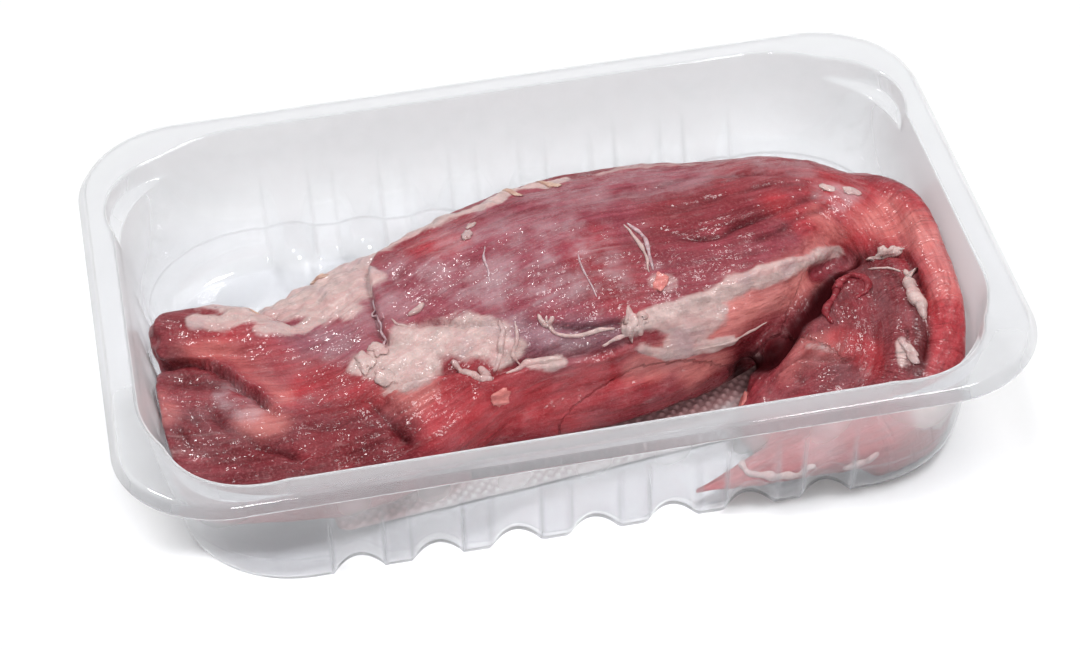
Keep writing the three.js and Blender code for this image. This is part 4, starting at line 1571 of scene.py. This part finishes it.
class MEATTRAY_OT_stage(bpy.types.Operator):
    """Build the floor, the lights and the camera"""

    bl_idname = "meat_tray.build_stage"
    bl_label = "Build stage"

    FLOOR_HALF = 4000.0
    FLOOR_ROWS = 9
    FLOOR_DROP = 0.05
    # Softboxes aimed at the tray: name, place, size and watts.
    SOFTBOXES = (
        ("key_softbox", (-0.35, 0.55, 0.95), (0.15, 0.1), 3.8),
        ("top_softbox", (0.4, -0.05, 1.1), (0.32, 0.32), 6.2),
        ("front_fill", (-0.15, -1.15, 0.9), (0.22, 0.16), 5.2),
    )
    SKY_COLOUR = (0.97, 0.98, 1.0, 1.0)
    SKY_STRENGTH = 0.36

    def execute(self, context):
        self.floor()
        self.lights(context.scene)
        self.camera(context.scene)
        context.scene.view_settings.view_transform = "Standard"
        context.scene.view_settings.look = "None"
        return {"FINISHED"}

    def floor(self):
        rows = self.FLOOR_ROWS
        steps = np.linspace(-self.FLOOR_HALF, self.FLOOR_HALF, rows)
        x, y = (axis.ravel() for axis in np.meshgrid(steps, steps, indexing="ij"))
        index = np.arange(rows**2).reshape(rows, rows)
        corners = (index[:-1, :-1], index[1:, :-1], index[1:, 1:], index[:-1, 1:])
        faces = np.stack(corners, axis=-1).reshape(-1, 4)
        points = np.stack((x, y, np.full(rows**2, -self.FLOOR_DROP)), axis=1)
        object_from("studio_floor", points, faces.tolist(), studio_floor())

    def lights(self, scene):
        world = bpy.data.worlds.new("studio")
        world.use_nodes = True
        sky = world.node_tree.nodes["Background"]
        sky.inputs["Color"].default_value = self.SKY_COLOUR
        sky.inputs["Strength"].default_value = self.SKY_STRENGTH
        scene.world = world
        for name, place, size, power in self.SOFTBOXES:
            light = bpy.data.lights.new(name, "AREA")
            light.shape = "RECTANGLE"
            light.size, light.size_y = size
            light.energy = power
            made = bpy.data.objects.new(name, light)
            made.location = place
            made.rotation_mode = "QUATERNION"
            made.rotation_quaternion = Vector(place).to_track_quat("Z", "Y")
            scene.collection.objects.link(made)

    def camera(self, scene):
        stage = settings().stage
        a, e, roll = stage.azimuth, stage.elevation, stage.roll
        back = Vector((math.sin(a) * math.cos(e), -math.cos(a) * math.cos(e), math.sin(e)))
        right = (-back).cross(Vector((0, 0, 1))).normalized()
        up = right.cross(-back)
        turned_right = math.cos(roll) * right + math.sin(roll) * up
        turned_up = -math.sin(roll) * right + math.cos(roll) * up
        camera = bpy.data.cameras.new("camera")
        camera.lens = stage.lens
        camera.sensor_width = 36.0
        camera.sensor_fit = "HORIZONTAL"
        camera.clip_start = 0.01
        made = bpy.data.objects.new("camera", camera)
        turn = Matrix((turned_right, turned_up, back)).transposed().to_4x4()
        place = Vector((stage.target_x, stage.target_y, 0)) + back * stage.distance
        made.matrix_world = Matrix.Translation(place) @ turn
        scene.collection.objects.link(made)
        scene.camera = made


# ---------------------------------------------------------------- add-on

OPERATORS = (MEATTRAY_OT_stage, MEATTRAY_OT_tray, MEATTRAY_OT_pad, MEATTRAY_OT_meat, MEATTRAY_OT_scraps)


class MEATTRAY_PT_panel(bpy.types.Panel):
    """Sidebar panel of the meat tray pack"""

    bl_label = "Meat tray"
    bl_idname = "MEATTRAY_PT_panel"
    bl_space_type = "VIEW_3D"
    bl_region_type = "UI"
    bl_category = "Meat tray"

    def draw(self, context):
        for operator in OPERATORS:
            self.layout.operator(operator.bl_idname)
        for name in PackSettings.__annotations__:
            group = getattr(settings(), name)
            box = self.layout.box()
            box.label(text=name.capitalize())
            for key in group.__annotations__:
                box.prop(group, key)


GROUPS = (TraySizes, PadSizes, MeatSizes, PackColours, StageSettings, PackSettings)
CLASSES = (*GROUPS, *OPERATORS, MEATTRAY_PT_panel)


def register():
    for cls in CLASSES:
        bpy.utils.register_class(cls)
    bpy.types.Scene.meat_tray_pack = PointerProperty(type=PackSettings)


def unregister():
    del bpy.types.Scene.meat_tray_pack
    for cls in reversed(CLASSES):
        bpy.utils.unregister_class(cls)


def main():
    """Build everything in order."""
    register()
    bpy.ops.meat_tray.build_stage()
    bpy.ops.meat_tray.build_tray()
    bpy.ops.meat_tray.build_pad()
    bpy.ops.meat_tray.build_meat()
    bpy.ops.meat_tray.build_scraps()


if __name__ == "__main__":
    main()
